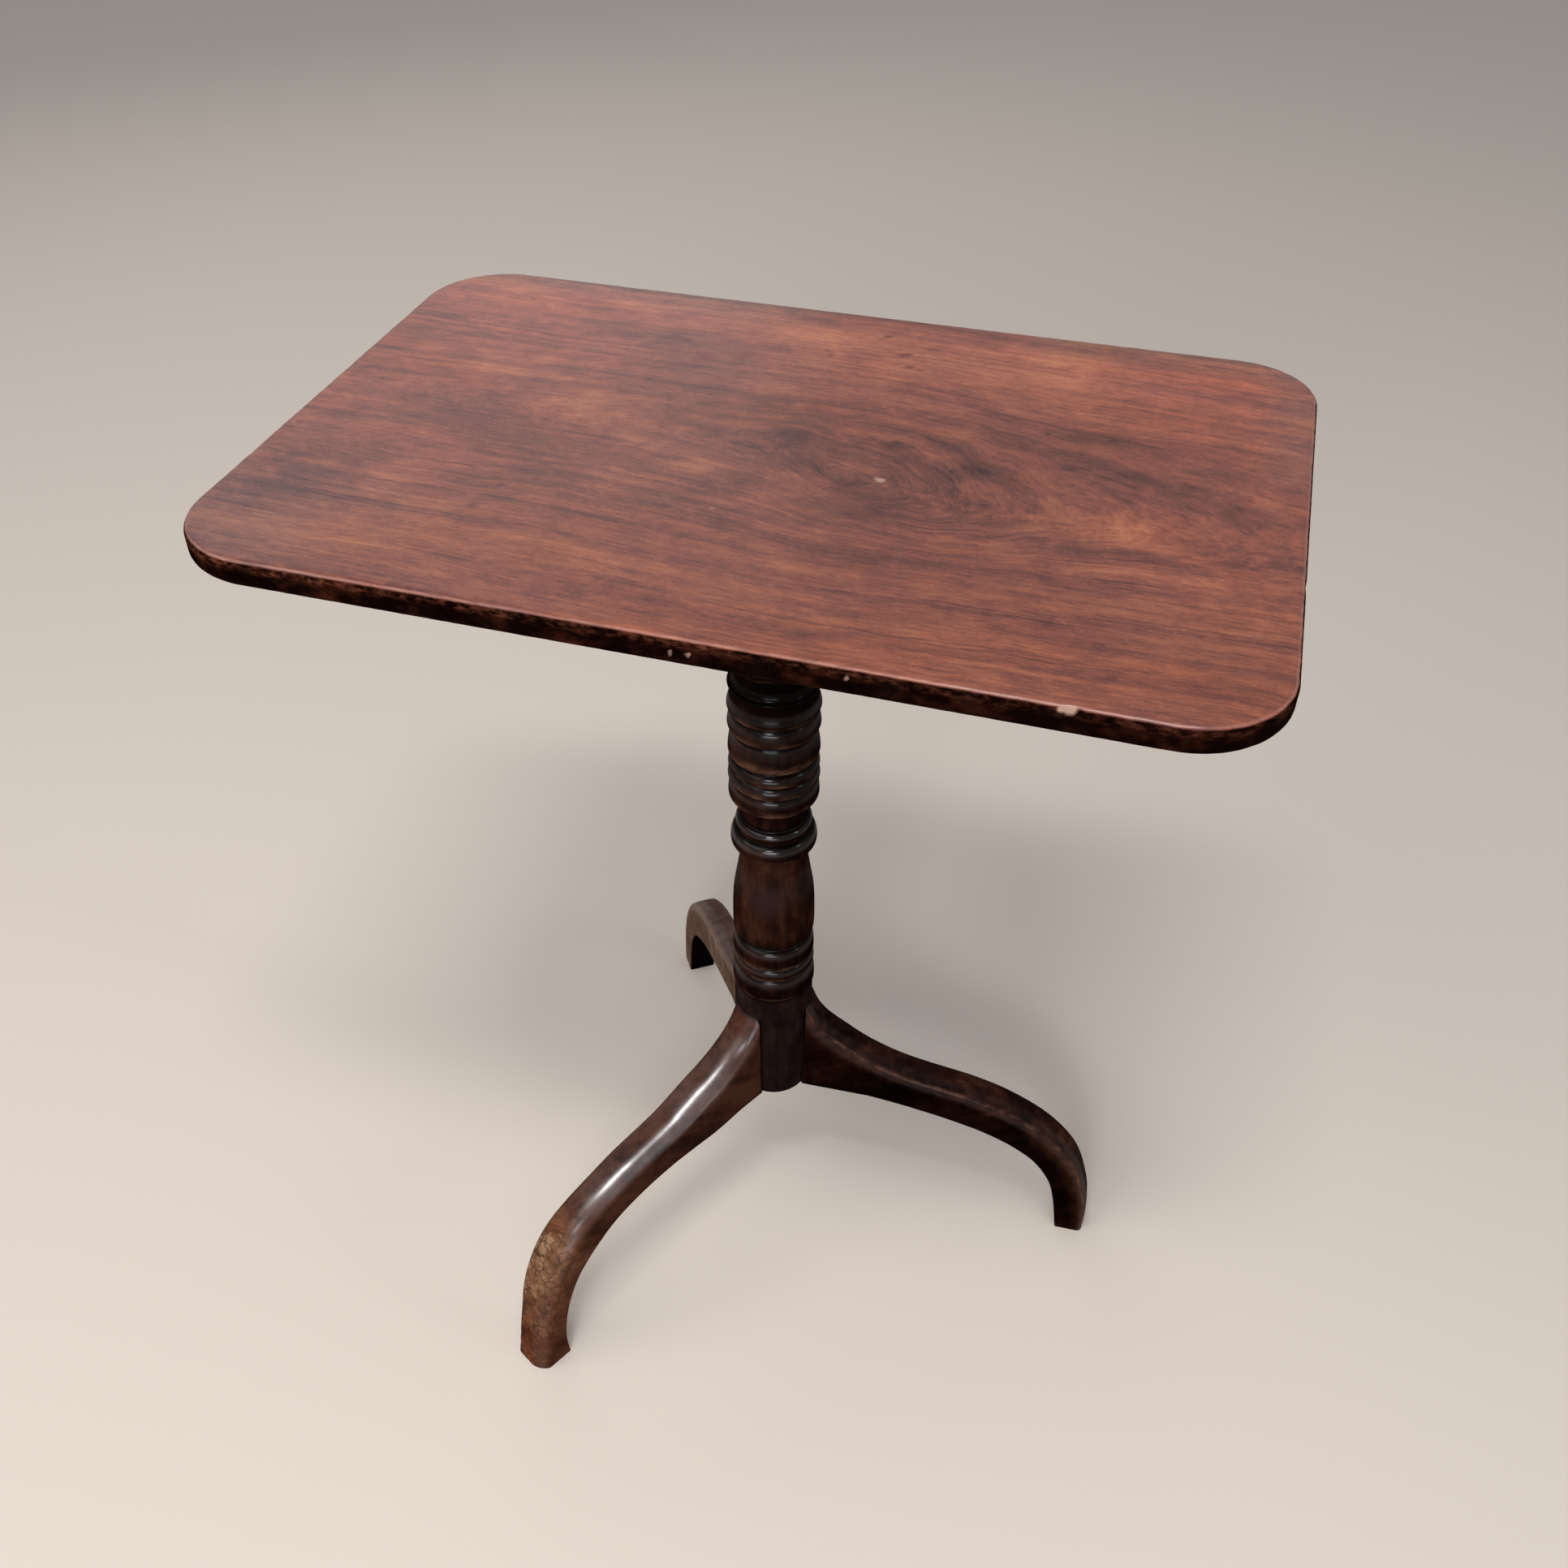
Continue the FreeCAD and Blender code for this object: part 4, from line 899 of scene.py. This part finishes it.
def top_material():
    m = Mat("old_polished_top")
    P = m.coord()
    x, y, z = m.sep(P)
    flow, half = m.attr("flow"), m.attr("half")
    wob = m.noise(m.comb(x * 11.0, y * 34.0, z * 34.0), 1.0, 3.0, 0.6) - 0.5
    f = flow + wob * 0.0022
    # growth rings: long lines that follow the rings round the eye
    rings = m.noise(m.comb(x * 2.6, f * 120.0, half * 1.6), 1.0, 5.0, 0.70)
    lines = m.noise(m.comb(x * 6.0 + 4.0, f * 330.0, half * 3.0), 1.0, 3.0, 0.62)
    fine = m.noise(m.comb(x * 62.0 - 2.0, f * 520.0, half * 3.0), 1.0, 3.0, 0.68)
    hair = m.noise(m.comb(x * 150.0, f * 1300.0, half * 4.0), 1.0, 2.0, 0.6)
    pore = m.noise(m.comb(x * 170.0, f * 1500.0, half * 9.0), 1.0, 1.0, 0.5)
    fleck = m.noise(m.comb(x * 420.0, y * 760.0, z * 200.0), 1.0, 2.0, 0.6)
    cloud = m.noise(m.comb(x * 6.0, y * 11.0, z), 1.0, 3.0, 0.55)
    blotch = m.noise(m.comb(x * 40.0, y * 74.0, z), 1.0, 5.0, 0.74, 0.5)
    tint = m.noise(m.comb(x * 5.0 + 5.0, y * 9.0, z), 1.0, 4.0, 0.66)
    tone = m.attr("tone")
    speck = m.attr("speck")
    # the lines are crisp in the front half and blurred into mottling in the back half
    crisp = m.rng(y, -0.03, 0.09, 1.0, 0.60, True)
    t = 0.50 + (rings - 0.5) * 0.86 + (fine - 0.5) * 0.50 * crisp + (hair - 0.5) * 0.40 * crisp + (cloud - 0.5) * 0.34 \
        + (blotch - 0.5) * 0.78 + tone * 0.27
    # the darker late wood of each ring, a thin line, stronger in the lower half of the board
    late = m.rng(lines, 0.56, 0.68, 0.0, 1.0) * m.rng(cloud, 0.35, 0.62, 0.4, 1.0)
    t = t - late * 0.20
    col = m.ramp(t, [(0.08, (0.070, 0.031, 0.029)), (0.34, (0.145, 0.055, 0.045)), (0.52, (0.225, 0.077, 0.055)),
                     (0.70, (0.305, 0.109, 0.067)), (0.94, (0.410, 0.165, 0.090))])
    # violet-grey where the old polish has bloomed, orange where it is thin
    col = m.mix(m.rng(tint, 0.50, 0.66, 0.0, 0.42), col, m.mix(1.0, col, (1.14, 1.00, 0.78), "MULTIPLY"))
    col = m.mix(m.rng(tint, 0.50, 0.36, 0.0, 0.42), col, m.mix(1.0, col, (0.88, 0.98, 1.08), "MULTIPLY"))
    # the front half is redder, the far right browner
    col = m.mix(m.rng(y, 0.02, -0.16, 0.0, 0.45, True), col, m.mix(1.0, col, (1.08, 0.95, 0.86), "MULTIPLY"))
    # painted sheen: the back half is lightened as if it reflected the light
    col = m.mix(m.rng(y, 0.03, 0.19, 0.0, 1.0, True), col, m.mix(1.0, col, (1.42, 1.38, 1.36), "MULTIPLY"))
    col = m.mix(m.rng(x, -0.06, -0.22, 0.0, 1.0, True) * m.rng(y, -0.13, -0.03, 0.0, 1.0, True), col,
                m.mix(1.0, col, (1.17, 1.08, 1.06), "MULTIPLY"))
    col = m.mix(m.rng(x, -0.16, -0.27, 0.0, 1.0, True) * m.rng(y, -0.06, -0.13, 0.0, 1.0, True), col,
                m.mix(1.0, col, (0.84, 1.00, 1.16), "MULTIPLY"))
    col = m.mix(m.rng(x, 0.15, 0.25, 0.0, 1.0, True) * m.rng(y, -0.12, -0.04, 0.0, 1.0, True), col,
                m.mix(1.0, col, (1.20, 1.14, 1.10), "MULTIPLY"))
    # painted sheen: greyer along the back edge, strongest at both ends
    ends = m.rng(x, 0.01, -0.04, 0.25, 1.0, True) + m.rng(x, 0.10, 0.14, 0.0, 0.75, True)
    col = m.mix(ends * m.rng(y, 0.176, 0.200, 0.0, 1.0, True), col, m.mix(1.0, col, (0.84, 1.00, 1.07), "MULTIPLY"))
    col = m.mix(ends * m.rng(y, 0.202, 0.209, 0.0, 1.0, True), col, m.mix(1.0, col, (0.80, 0.94, 0.98), "MULTIPLY"))
    col = m.mix(m.rng(x, 0.266, 0.290, 0.0, 1.0, True) * m.rng(y, 0.03, 0.07, 0.0, 1.0, True), col,
                m.mix(1.0, col, (0.84, 1.01, 1.10), "MULTIPLY"))
    # pores: short dark dashes, and small bright flecks between them
    dash = m.rng(pore, 0.60, 0.72, 0.0, 1.0)
    col = m.mix(dash * 0.34, col, (0.070, 0.028, 0.024))
    bright = m.rng(fleck, 0.58, 0.74, 0.0, 1.0)
    col = m.mix(bright * 0.20, col, (0.50, 0.215, 0.130))
    dust = m.rng(fleck, 0.42, 0.28, 0.0, 1.0)
    col = m.mix(dust * 0.22, col, (0.095, 0.038, 0.032))
    dark_spot = m.rng(speck * -1.0, 0.15, 0.9, 0.0, 1.0)
    col = m.mix(dark_spot * 0.75, col, (0.045, 0.022, 0.022))
    # the polish darkens in a narrow band along the edges
    # sides: nearly black, rubbed to red-brown under the upper arris
    mott = m.noise(m.comb(x * 60.0, y * 60.0, z * 110.0), 1.0, 3.0, 0.6)
    fleck2 = m.noise(m.comb(x * 170.0, y * 170.0, z * 420.0), 1.0, 3.0, 0.65)
    down = m.rng(z + (mott - 0.5) * 0.0004, 0.70905, 0.70990, 1.0, 0.0, True)
    side = m.ramp(mott, [(0.30, (0.0022, 0.0007, 0.0005)), (0.50, (0.0048, 0.0014, 0.0009)), (0.66, (0.0200, 0.0052, 0.0028)),
                         (0.85, (0.0600, 0.0170, 0.0088))])
    col = m.mix(down, col, side)
    upper = m.rng(z, 0.7030, 0.7078, 0.0, 1.0, True)
    rub = m.rng(fleck2, 0.44, 0.66, 0.0, 1.0) * upper * m.rng(mott, 0.34, 0.58, 0.25, 1.0)
    col = m.mix(down * rub * m.rng(x, -0.20, 0.25, 0.70, 0.34), col, (0.155, 0.046, 0.024))
    # painted highlight: a thin pale line along the arris, broken up by mottling
    line = m.rng(z, 0.7096, 0.7101, 0.0, 1.0, True) * m.rng(z, 0.7104, 0.7107, 1.0, 0.0, True)
    col = m.mix(line * m.rng(mott, 0.36, 0.60, 0.12, 0.55), col, (0.42, 0.205, 0.160))
    pale = m.rng(speck, 0.3, 1.2, 0.0, 1.0)
    col = m.mix(pale * 0.8, col, (0.46, 0.28, 0.21))
    # underside: bare, dusty
    under = m.rng(z, 0.6941, 0.6955, 1.0, 0.0, True)
    bare = m.ramp(m.noise(m.comb(x * 8.0, y * 160.0, 3.0), 1.0, 4.0, 0.6),
                  [(0.25, (0.105, 0.052, 0.032)), (0.55, (0.175, 0.092, 0.056)), (0.85, (0.26, 0.150, 0.095))])
    col = m.mix(under, col, bare)
    scratch = m.noise(m.comb(x * 40.0, y * 26.0, z), 1.0, 4.0, 0.7)
    rough = 0.34 + (cloud - 0.5) * 0.16 + (scratch - 0.5) * 0.20 + dash * 0.10 + dark_spot * 0.1
    rough = m.math("ADD", rough, under * 0.45)
    h = (fine - 0.5) * 0.5 + (hair - 0.5) * 0.5 - dash * 0.8 + (scratch - 0.5) * 0.6
    nrm = m.bump(h, 0.00010, 0.55)
    # the polish lies on the upper face and its arris, and is worn off the sides
    gloss = m.rng(z, 0.7092, 0.7102, 0.0, 0.62, True) * (1.0 - under) + (scratch - 0.5) * 0.10
    m.put(m.bsdf.inputs["Coat Weight"], m.math("MAXIMUM", gloss, 0.0))
    return m.finish(col, rough, nrm, Coat_Roughness=0.28, Specular_IOR_Level=0.0)


def dark_turned_material():
    m = Mat("dark_polished_pillar")
    P = m.coord()
    x, y, z = m.sep(P)
    wear_and_painted_light, painted_shade = m.attr("wear_and_painted_light"), m.attr("painted_shade")
    cloud = m.noise(m.comb(x * 26.0, y * 26.0, z * 12.0), 1.0, 3.0, 0.6)
    streak = m.noise(m.comb(x * 190.0, y * 190.0, z * 14.0), 1.0, 3.0, 0.6)
    pore = m.noise(m.comb(x * 900.0, y * 900.0, z * 70.0), 1.0, 1.0, 0.5)
    blotch = m.noise(m.comb(x * 75.0, y * 75.0, z * 48.0), 1.0, 4.0, 0.7)
    t = 0.5 + (cloud - 0.5) * 0.9 + (streak - 0.5) * 0.6 + (blotch - 0.5) * 0.9
    # the barrel between the ring groups has lost most of its stain
    barrel = m.rng(z, 0.300, 0.322, 0.0, 1.0, True) * m.rng(z, 0.386, 0.398, 1.0, 0.0, True)
    drum = m.rng(z, 0.240, 0.250, 1.0, 0.0, True)
    dark = m.ramp(t, [(0.15, (0.0022, 0.0007, 0.0005)), (0.45, (0.0085, 0.0024, 0.0016)), (0.7, (0.0240, 0.0074, 0.0046)),
                      (0.9, (0.040, 0.0150, 0.0095))])
    bare = m.ramp(t, [(0.15, (0.0055, 0.0018, 0.0010)), (0.42, (0.0180, 0.0060, 0.0034)), (0.66, (0.042, 0.0155, 0.0088)),
                      (0.90, (0.085, 0.035, 0.020))])
    dull = m.ramp(t, [(0.15, (0.0050, 0.0024, 0.0022)), (0.5, (0.0145, 0.0074, 0.0066)), (0.9, (0.042, 0.0230, 0.0190))])
    col = m.mix(barrel, dark, bare)
    col = m.mix(drum, col, dull)
    # painted shade: the necking under the block, in the shadow of the board, darkened nearly to black
    col = m.mix(m.rng(z, 0.500, 0.545, 0.0, 0.85, True), col, (0.0020, 0.0010, 0.0009))
    # a dark scorch on the barrel's front
    ang = m.comb(x + 0.0035 - 0.003, y - 0.0128 + 0.031, z - 0.352)
    n = m.node("ShaderNodeVectorMath", operation="LENGTH")
    m.put(n.inputs[0], ang)
    sp = S(m, n.outputs["Value"]) + (cloud - 0.5) * 0.012
    spot = m.rng(sp, 0.006, 0.020, 1.0, 0.0, True)
    col = m.mix(spot * 0.8, col, (0.030, 0.014, 0.012))
    wn = m.noise(m.comb(x * 55.0, y * 55.0, z * 160.0), 1.0, 3.0, 0.65)
    # painted shade: the pillar darkened on its right side, less on the barrel
    col = m.mix(m.rng(x - y * 0.3, -0.012, 0.018, 0.0, 0.9, True) * m.rng(barrel, 0.0, 1.0, 1.0, 0.25), col,
                m.mix(1.0, col, (0.46, 0.42, 0.42), "MULTIPLY"))
    # worn lower edges of the rings, lighter on the left as painted light
    rubbed_and_painted_light = m.math("MULTIPLY", m.rng(wear_and_painted_light, 0.10, 0.80, 0.0, 1.0), m.rng(wn, 0.38, 0.62, 0.05, 1.0))
    col = m.mix(rubbed_and_painted_light * 0.90, col, (0.145, 0.070, 0.043))
    # painted shade: nearly black under the rings' lips, in the grooves and beside the legs
    col = m.mix(m.rng(painted_shade, 0.12, 0.75, 0.0, 0.94), col, (0.0030, 0.0015, 0.0012))
    dash = m.rng(pore, 0.62, 0.76, 0.0, 1.0)
    col = m.mix(dash * 0.25, col, (0.012, 0.006, 0.006))
    rough = 0.30 + (cloud - 0.5) * 0.22 + barrel * 0.14 + drum * 0.14 + painted_shade * 0.25 + spot * 0.1
    h = (streak - 0.5) * 0.6 - dash * 0.5 + (cloud - 0.5) * 0.5
    nrm = m.bump(h, 0.00012, 0.6)
    gloss = m.attr("gloss") * m.rng(cloud, 0.30, 0.60, 0.55, 1.0) * m.rng(barrel, 0.0, 1.0, 1.0, 0.6)
    m.put(m.bsdf.inputs["Coat Weight"], gloss)
    return m.finish(col, rough, nrm, Coat_Roughness=0.19, Coat_IOR=1.5, Specular_IOR_Level=0.0)


LEG_TONE = {"leg_right": 0.06, "leg_rear": 0.56, "leg_front_left": 0.33}
# how far each leg's lower sides are darkened as painted shade
SIDE_DARK = {"leg_right": (0.14, 0.11, 0.10), "leg_rear": (0.45, 0.38, 0.34), "leg_front_left": (0.45, 0.38, 0.34)}
LEG_COAT = {"leg_right": 1.6, "leg_rear": 1.5, "leg_front_left": 2.6}


def leg_material(name, az, slope):
    m = Mat("dark_leg_" + name)
    P = m.coord()
    # into the leg's own plane: x out along the leg, then turned to the way of its grain
    a = m.mapping(P, loc=(0, 0, 0), rot_=(0, 0, -math.radians(az)))
    g = m.mapping(a, rot_=(0, math.radians(slope), 0))
    x, y, z = m.sep(g)
    ox, oy, oz = m.sep(P)
    along, edge, scuff, painted_shade = m.attr("along"), m.attr("edge"), m.attr("scuff"), m.attr("painted_shade")
    cloud = m.noise(m.comb(x * 10.0, y * 24.0, z * 24.0), 1.0, 3.0, 0.6)
    streak = m.noise(m.comb(x * 8.0, y * 130.0, z * 130.0), 1.0, 3.0, 0.6)
    pore = m.noise(m.comb(x * 80.0, y * 900.0, z * 900.0), 1.0, 1.0, 0.5)
    blotch = m.noise(m.comb(ox * 70.0, oy * 70.0, oz * 60.0), 1.0, 4.0, 0.7)
    t = 0.5 + (cloud - 0.5) * 0.8 + (streak - 0.5) * 0.6 + (blotch - 0.5) * 0.7 + LEG_TONE[name]
    col = m.ramp(t, [(0.12, (0.0020, 0.0007, 0.0005)), (0.42, (0.0080, 0.0026, 0.0018)), (0.66, (0.0320, 0.0102, 0.0060)),
                     (0.9, (0.0820, 0.0300, 0.0175))])
    # painted shade: the lower sides and the underside are darkened nearly to black
    low = m.attr("low")
    painted_side_shade = m.rng(cloud, 0.30, 0.75, 0.95, 0.80 if name == "leg_right" else 0.50)
    col = m.mix(low * painted_side_shade, col, m.mix(1.0, col, SIDE_DARK[name], "MULTIPLY"))
    # rubbed arrises
    wn = m.noise(m.comb(x * 40.0, y * 90.0, z * 90.0), 1.0, 3.0, 0.65)
    rub = m.rng(m.attr("worn"), 0.2, 0.9, 0.0, 1.0) * m.rng(wn, 0.42, 0.62, 0.0, 1.0)
    col = m.mix(rub * 0.62, col, (0.135, 0.062, 0.037))
    # scuffed toe: the stain is kicked off down to tan wood, in flakes with dark cracks between them
    sn = m.noise(m.comb(ox * 50.0, oy * 50.0, oz * 40.0), 1.0, 4.0, 0.66)
    band = m.rng(along, 0.57, 0.64, 0.0, 1.0, True) * m.rng(along, 0.76, 0.84, 1.0, 0.0, True)
    sc = m.rng(scuff, 0.25, 0.9, 0.0, 1.0) * m.rng(sn + (band - 0.70) * 0.22, 0.47, 0.56, 0.0, 1.0)
    worn = m.rng(scuff, 0.02, 0.5, 0.0, 1.0)
    col = m.mix(worn * 0.78, col, m.mix(m.rng(blotch, 0.34, 0.64), (0.066, 0.022, 0.010), (0.210, 0.086, 0.040)))
    crack = m.voronoi(m.comb(ox + (sn - 0.5) * 0.012, oy + (blotch - 0.5) * 0.012, oz), 115.0, "DISTANCE_TO_EDGE")
    tan = m.ramp(blotch, [(0.34, (0.150, 0.072, 0.038)), (0.52, (0.250, 0.132, 0.068)), (0.70, (0.360, 0.230, 0.135))])
    col = m.mix(sc * 0.85, col, tan)
    col = m.mix(worn * m.rng(crack, 0.0, 0.10, 1.0, 0.0) * m.rng(sn, 0.40, 0.55, 0.2, 0.9), col, (0.026, 0.012, 0.009))
    # the foot is darker again towards the floor
    col = m.mix(worn * m.rng(along, 0.84, 0.92, 0.0, 0.9, True), col, m.mix(1.0, col, (0.74, 0.58, 0.48), "MULTIPLY"))
    if name == "leg_rear":
        dusty = m.ramp(0.5 + (blotch - 0.5) * 1.1 + (streak - 0.5) * 0.6, [(0.2, (0.082, 0.050, 0.034)), (0.5, (0.176, 0.116, 0.080)),
                                                                       (0.8, (0.262, 0.184, 0.132))])
        col = m.mix(m.rng(cloud, 0.30, 0.60, 0.50, 0.80), col, dusty)
        # its upper face keeps more of the stain than its sides
        col = m.mix(m.rng(m.attr("low"), 0.0, 0.6, 0.9, 0.0), col, m.mix(1.0, col, (0.70, 0.61, 0.66), "MULTIPLY"))
        col = m.mix(edge * 0.30, col, (0.250, 0.175, 0.130))
    # the underside nearly black: old dirt and painted shade
    col = m.mix(m.attr("under"), col, (0.0014, 0.0008, 0.0006))
    # painted shade where the leg meets the pillar
    col = m.mix(painted_shade * 0.85, col, (0.008, 0.005, 0.005))
    dash = m.rng(pore, 0.62, 0.76, 0.0, 1.0)
    col = m.mix(dash * 0.3, col, (0.012, 0.006, 0.006))
    rough = 0.40 + (cloud - 0.5) * 0.14 + sc * 0.24 + rub * 0.06 + painted_shade * 0.3
    h = (streak - 0.5) * 0.5 - dash * 0.5 + (sn - 0.5) * scuff * 1.2 - m.rng(crack, 0.0, 0.10, 1.0, 0.0) * scuff * 0.8
    nrm = m.bump(h, 0.00014, 0.6)
    gloss = m.attr("gloss") * (1.0 - sc * 0.9) * (1.0 - worn * 0.45) * m.rng(blotch, 0.30, 0.60, 0.75, 1.0)
    m.put(m.bsdf.inputs["Coat Weight"], gloss)
    return m.finish(col, rough, nrm, Coat_Roughness=0.29, Coat_IOR=LEG_COAT[name], Specular_IOR_Level=0.0)


def bare_wood(name, tones, axis="Y", saw=True):
    m = Mat(name)
    P = m.coord()
    x, y, z = m.sep(P)
    if axis == "Y":
        x, y = y, x
    elif axis == "Z":
        x, z = z, x
    streak = m.noise(m.comb(x * 7.0, y * 120.0, z * 120.0), 1.0, 4.0, 0.6)
    cloud = m.noise(m.comb(x * 12.0, y * 18.0, z * 18.0), 1.0, 3.0, 0.6)
    pore = m.noise(m.comb(x * 90.0, y * 1000.0, z * 1000.0), 1.0, 1.0, 0.5)
    t = 0.5 + (streak - 0.5) * 0.9 + (cloud - 0.5) * 0.8
    col = m.ramp(t, [(0.15, tones[0]), (0.5, tones[1]), (0.88, tones[2])])
    dash = m.rng(pore, 0.60, 0.74, 0.0, 1.0)
    col = m.mix(dash * 0.4, col, tuple(c * 0.35 for c in tones[0]))
    h = (streak - 0.5) * 0.8 - dash * 0.6
    if saw:
        sm = m.noise(m.comb(x * 420.0, y * 9.0, z * 9.0), 1.0, 1.0, 0.5)
        h = h + (sm - 0.5) * 0.8
    rough = 0.62 + (cloud - 0.5) * 0.25
    return m.finish(col, rough, m.bump(h, 0.00018, 0.7))


def metal(name, dark, mid_, light, rough, metallic, scale=140.0):
    m = Mat(name)
    P = m.coord()
    a = m.noise(P, scale, 4.0, 0.62)
    b = m.noise(P, scale * 6, 2.0, 0.6)
    t = 0.5 + (a - 0.5) * 1.3 + (b - 0.5) * 0.4
    col = m.ramp(t, [(0.2, dark), (0.5, mid_), (0.82, light)])
    r = rough + (a - 0.5) * 0.35 + (b - 0.5) * 0.15
    nrm = m.bump((a - 0.5) * 0.7 + (b - 0.5) * 0.5, 0.00008, 0.6)
    return m.finish(col, r, nrm, Metallic=metallic)


def assign(o, mat):
    o.data.materials.clear()
    o.data.materials.append(mat)


assign(top, top_material())
assign(pillar, dark_turned_material())
for n, o in leg_objs.items():
    assign(o, leg_material(n, LEG_LINES[n]["az"], 32.0))

block_mat = bare_wood("block_bare_wood", ((0.050, 0.026, 0.018), (0.110, 0.058, 0.036), (0.180, 0.100, 0.062)), "X")
bearer_mat = bare_wood("bearer_bare_wood", ((0.060, 0.030, 0.020), (0.130, 0.068, 0.042), (0.200, 0.112, 0.070)), "Y")
wedge_mat = bare_wood("wedge_pale_wood", ((0.19, 0.115, 0.06), (0.33, 0.21, 0.115), (0.45, 0.31, 0.18)), "Z", False)
iron_mat = metal("black_iron", (0.012, 0.010, 0.009), (0.032, 0.027, 0.024), (0.095, 0.055, 0.034), 0.55, 0.65)
screw_mat = metal("old_screw_steel", (0.035, 0.030, 0.027), (0.11, 0.10, 0.09), (0.22, 0.19, 0.16), 0.42, 0.9, 300.0)
brass_mat = metal("tarnished_brass", (0.11, 0.065, 0.022), (0.30, 0.19, 0.062), (0.50, 0.34, 0.13), 0.34, 1.0, 180.0)

for node, name, w, slot_, body, mat in (
        ("hinge_block", "worn_hinge_block", 0.9, "block_wood", "stand", block_mat),
        ("bearer_left", "worn_bearer_left", 0.8, "bearer_wood", "tilting_top", bearer_mat),
        ("bearer_right", "worn_bearer_right", 0.8, "bearer_wood", "tilting_top", bearer_mat),
        ("base_brace", "worn_base_brace", 0.35, "iron", "stand", iron_mat),
        ("catch_case", "worn_catch_case", 0.18, "catch_brass", "tilting_top", brass_mat)):
    assign(eased(node, name, w, 2, body), mat)

for n, mat in (("column_wedge", wedge_mat), ("pivot_pin_left", iron_mat), ("pivot_pin_right", iron_mat),
               ("keeper_plate", brass_mat), ("keeper_screws", brass_mat), ("brace_screws", screw_mat),
               ("bearer_screws", screw_mat), ("catch_plate", brass_mat), ("catch_spring", brass_mat),
               ("catch_screws", brass_mat), ("catch_bolt", brass_mat), ("catch_knob", brass_mat)):
    assign(nodes[n], mat)


# ---------------------------------------------------------------- floor and light
def plane(name, size, z=0.0):
    bm = bmesh.new()
    bmesh.ops.create_grid(bm, x_segments=1, y_segments=1, size=size)
    ob = new_object(name, bm, False)
    ob.location.z = z
    return ob


floor = plane("studio_floor", 7.0)
fm = bpy.data.materials.new("floor_pale")
fm.use_nodes = True
fb = fm.node_tree.nodes["Principled BSDF"]
fb.inputs["Base Color"].default_value = (0.75, 0.655, 0.57, 1)
fb.inputs["Roughness"].default_value = 0.9
floor.data.materials.append(fm)

world = bpy.data.worlds.new("studio")
bpy.context.scene.world = world
world.use_nodes = True
world.node_tree.nodes["Background"].inputs["Color"].default_value = (0.92, 0.95, 1.0, 1)
world.node_tree.nodes["Background"].inputs["Strength"].default_value = 0.34


def area(name, loc, target, size, power, color=(1, 1, 1)):
    d = bpy.data.lights.new(name, "AREA")
    d.shape = "RECTANGLE"
    d.size, d.size_y = size
    d.energy = power
    d.color = color
    o = bpy.data.objects.new(name, d)
    bpy.context.scene.collection.objects.link(o)
    o.location = loc
    o.rotation_euler = (Vector(target) - Vector(loc)).to_track_quat("-Z", "Y").to_euler()
    return o


area("soft_key", (-1.45, -1.45, 2.50), (0, 0, 0.40), (2.4, 1.8), 29, (1.0, 0.985, 0.96))
area("soft_front", (0.146, -2.38, 1.70), (0, 0, 0.40), (0.60, 0.32), 16, (0.90, 0.94, 1.0))
area("soft_low", (0.35, -2.36, 0.56), (0, 0, 0.47), (1.3, 0.34), 14, (0.86, 0.90, 1.0))
area("soft_side", (2.38, -0.28, 1.60), (0, 0, 0.40), (0.22, 0.5), 4, (0.90, 0.94, 1.0))
area("soft_over", (0.227, -0.949, 3.235), (-0.074, -0.12, 0.16), (1.20, 0.34), 35, (1.0, 0.99, 0.98))
area("soft_back", (-1.9, 2.3, 2.0), (0, 0, 0.7), (2.6, 1.4), 10, (0.93, 0.96, 1.0))
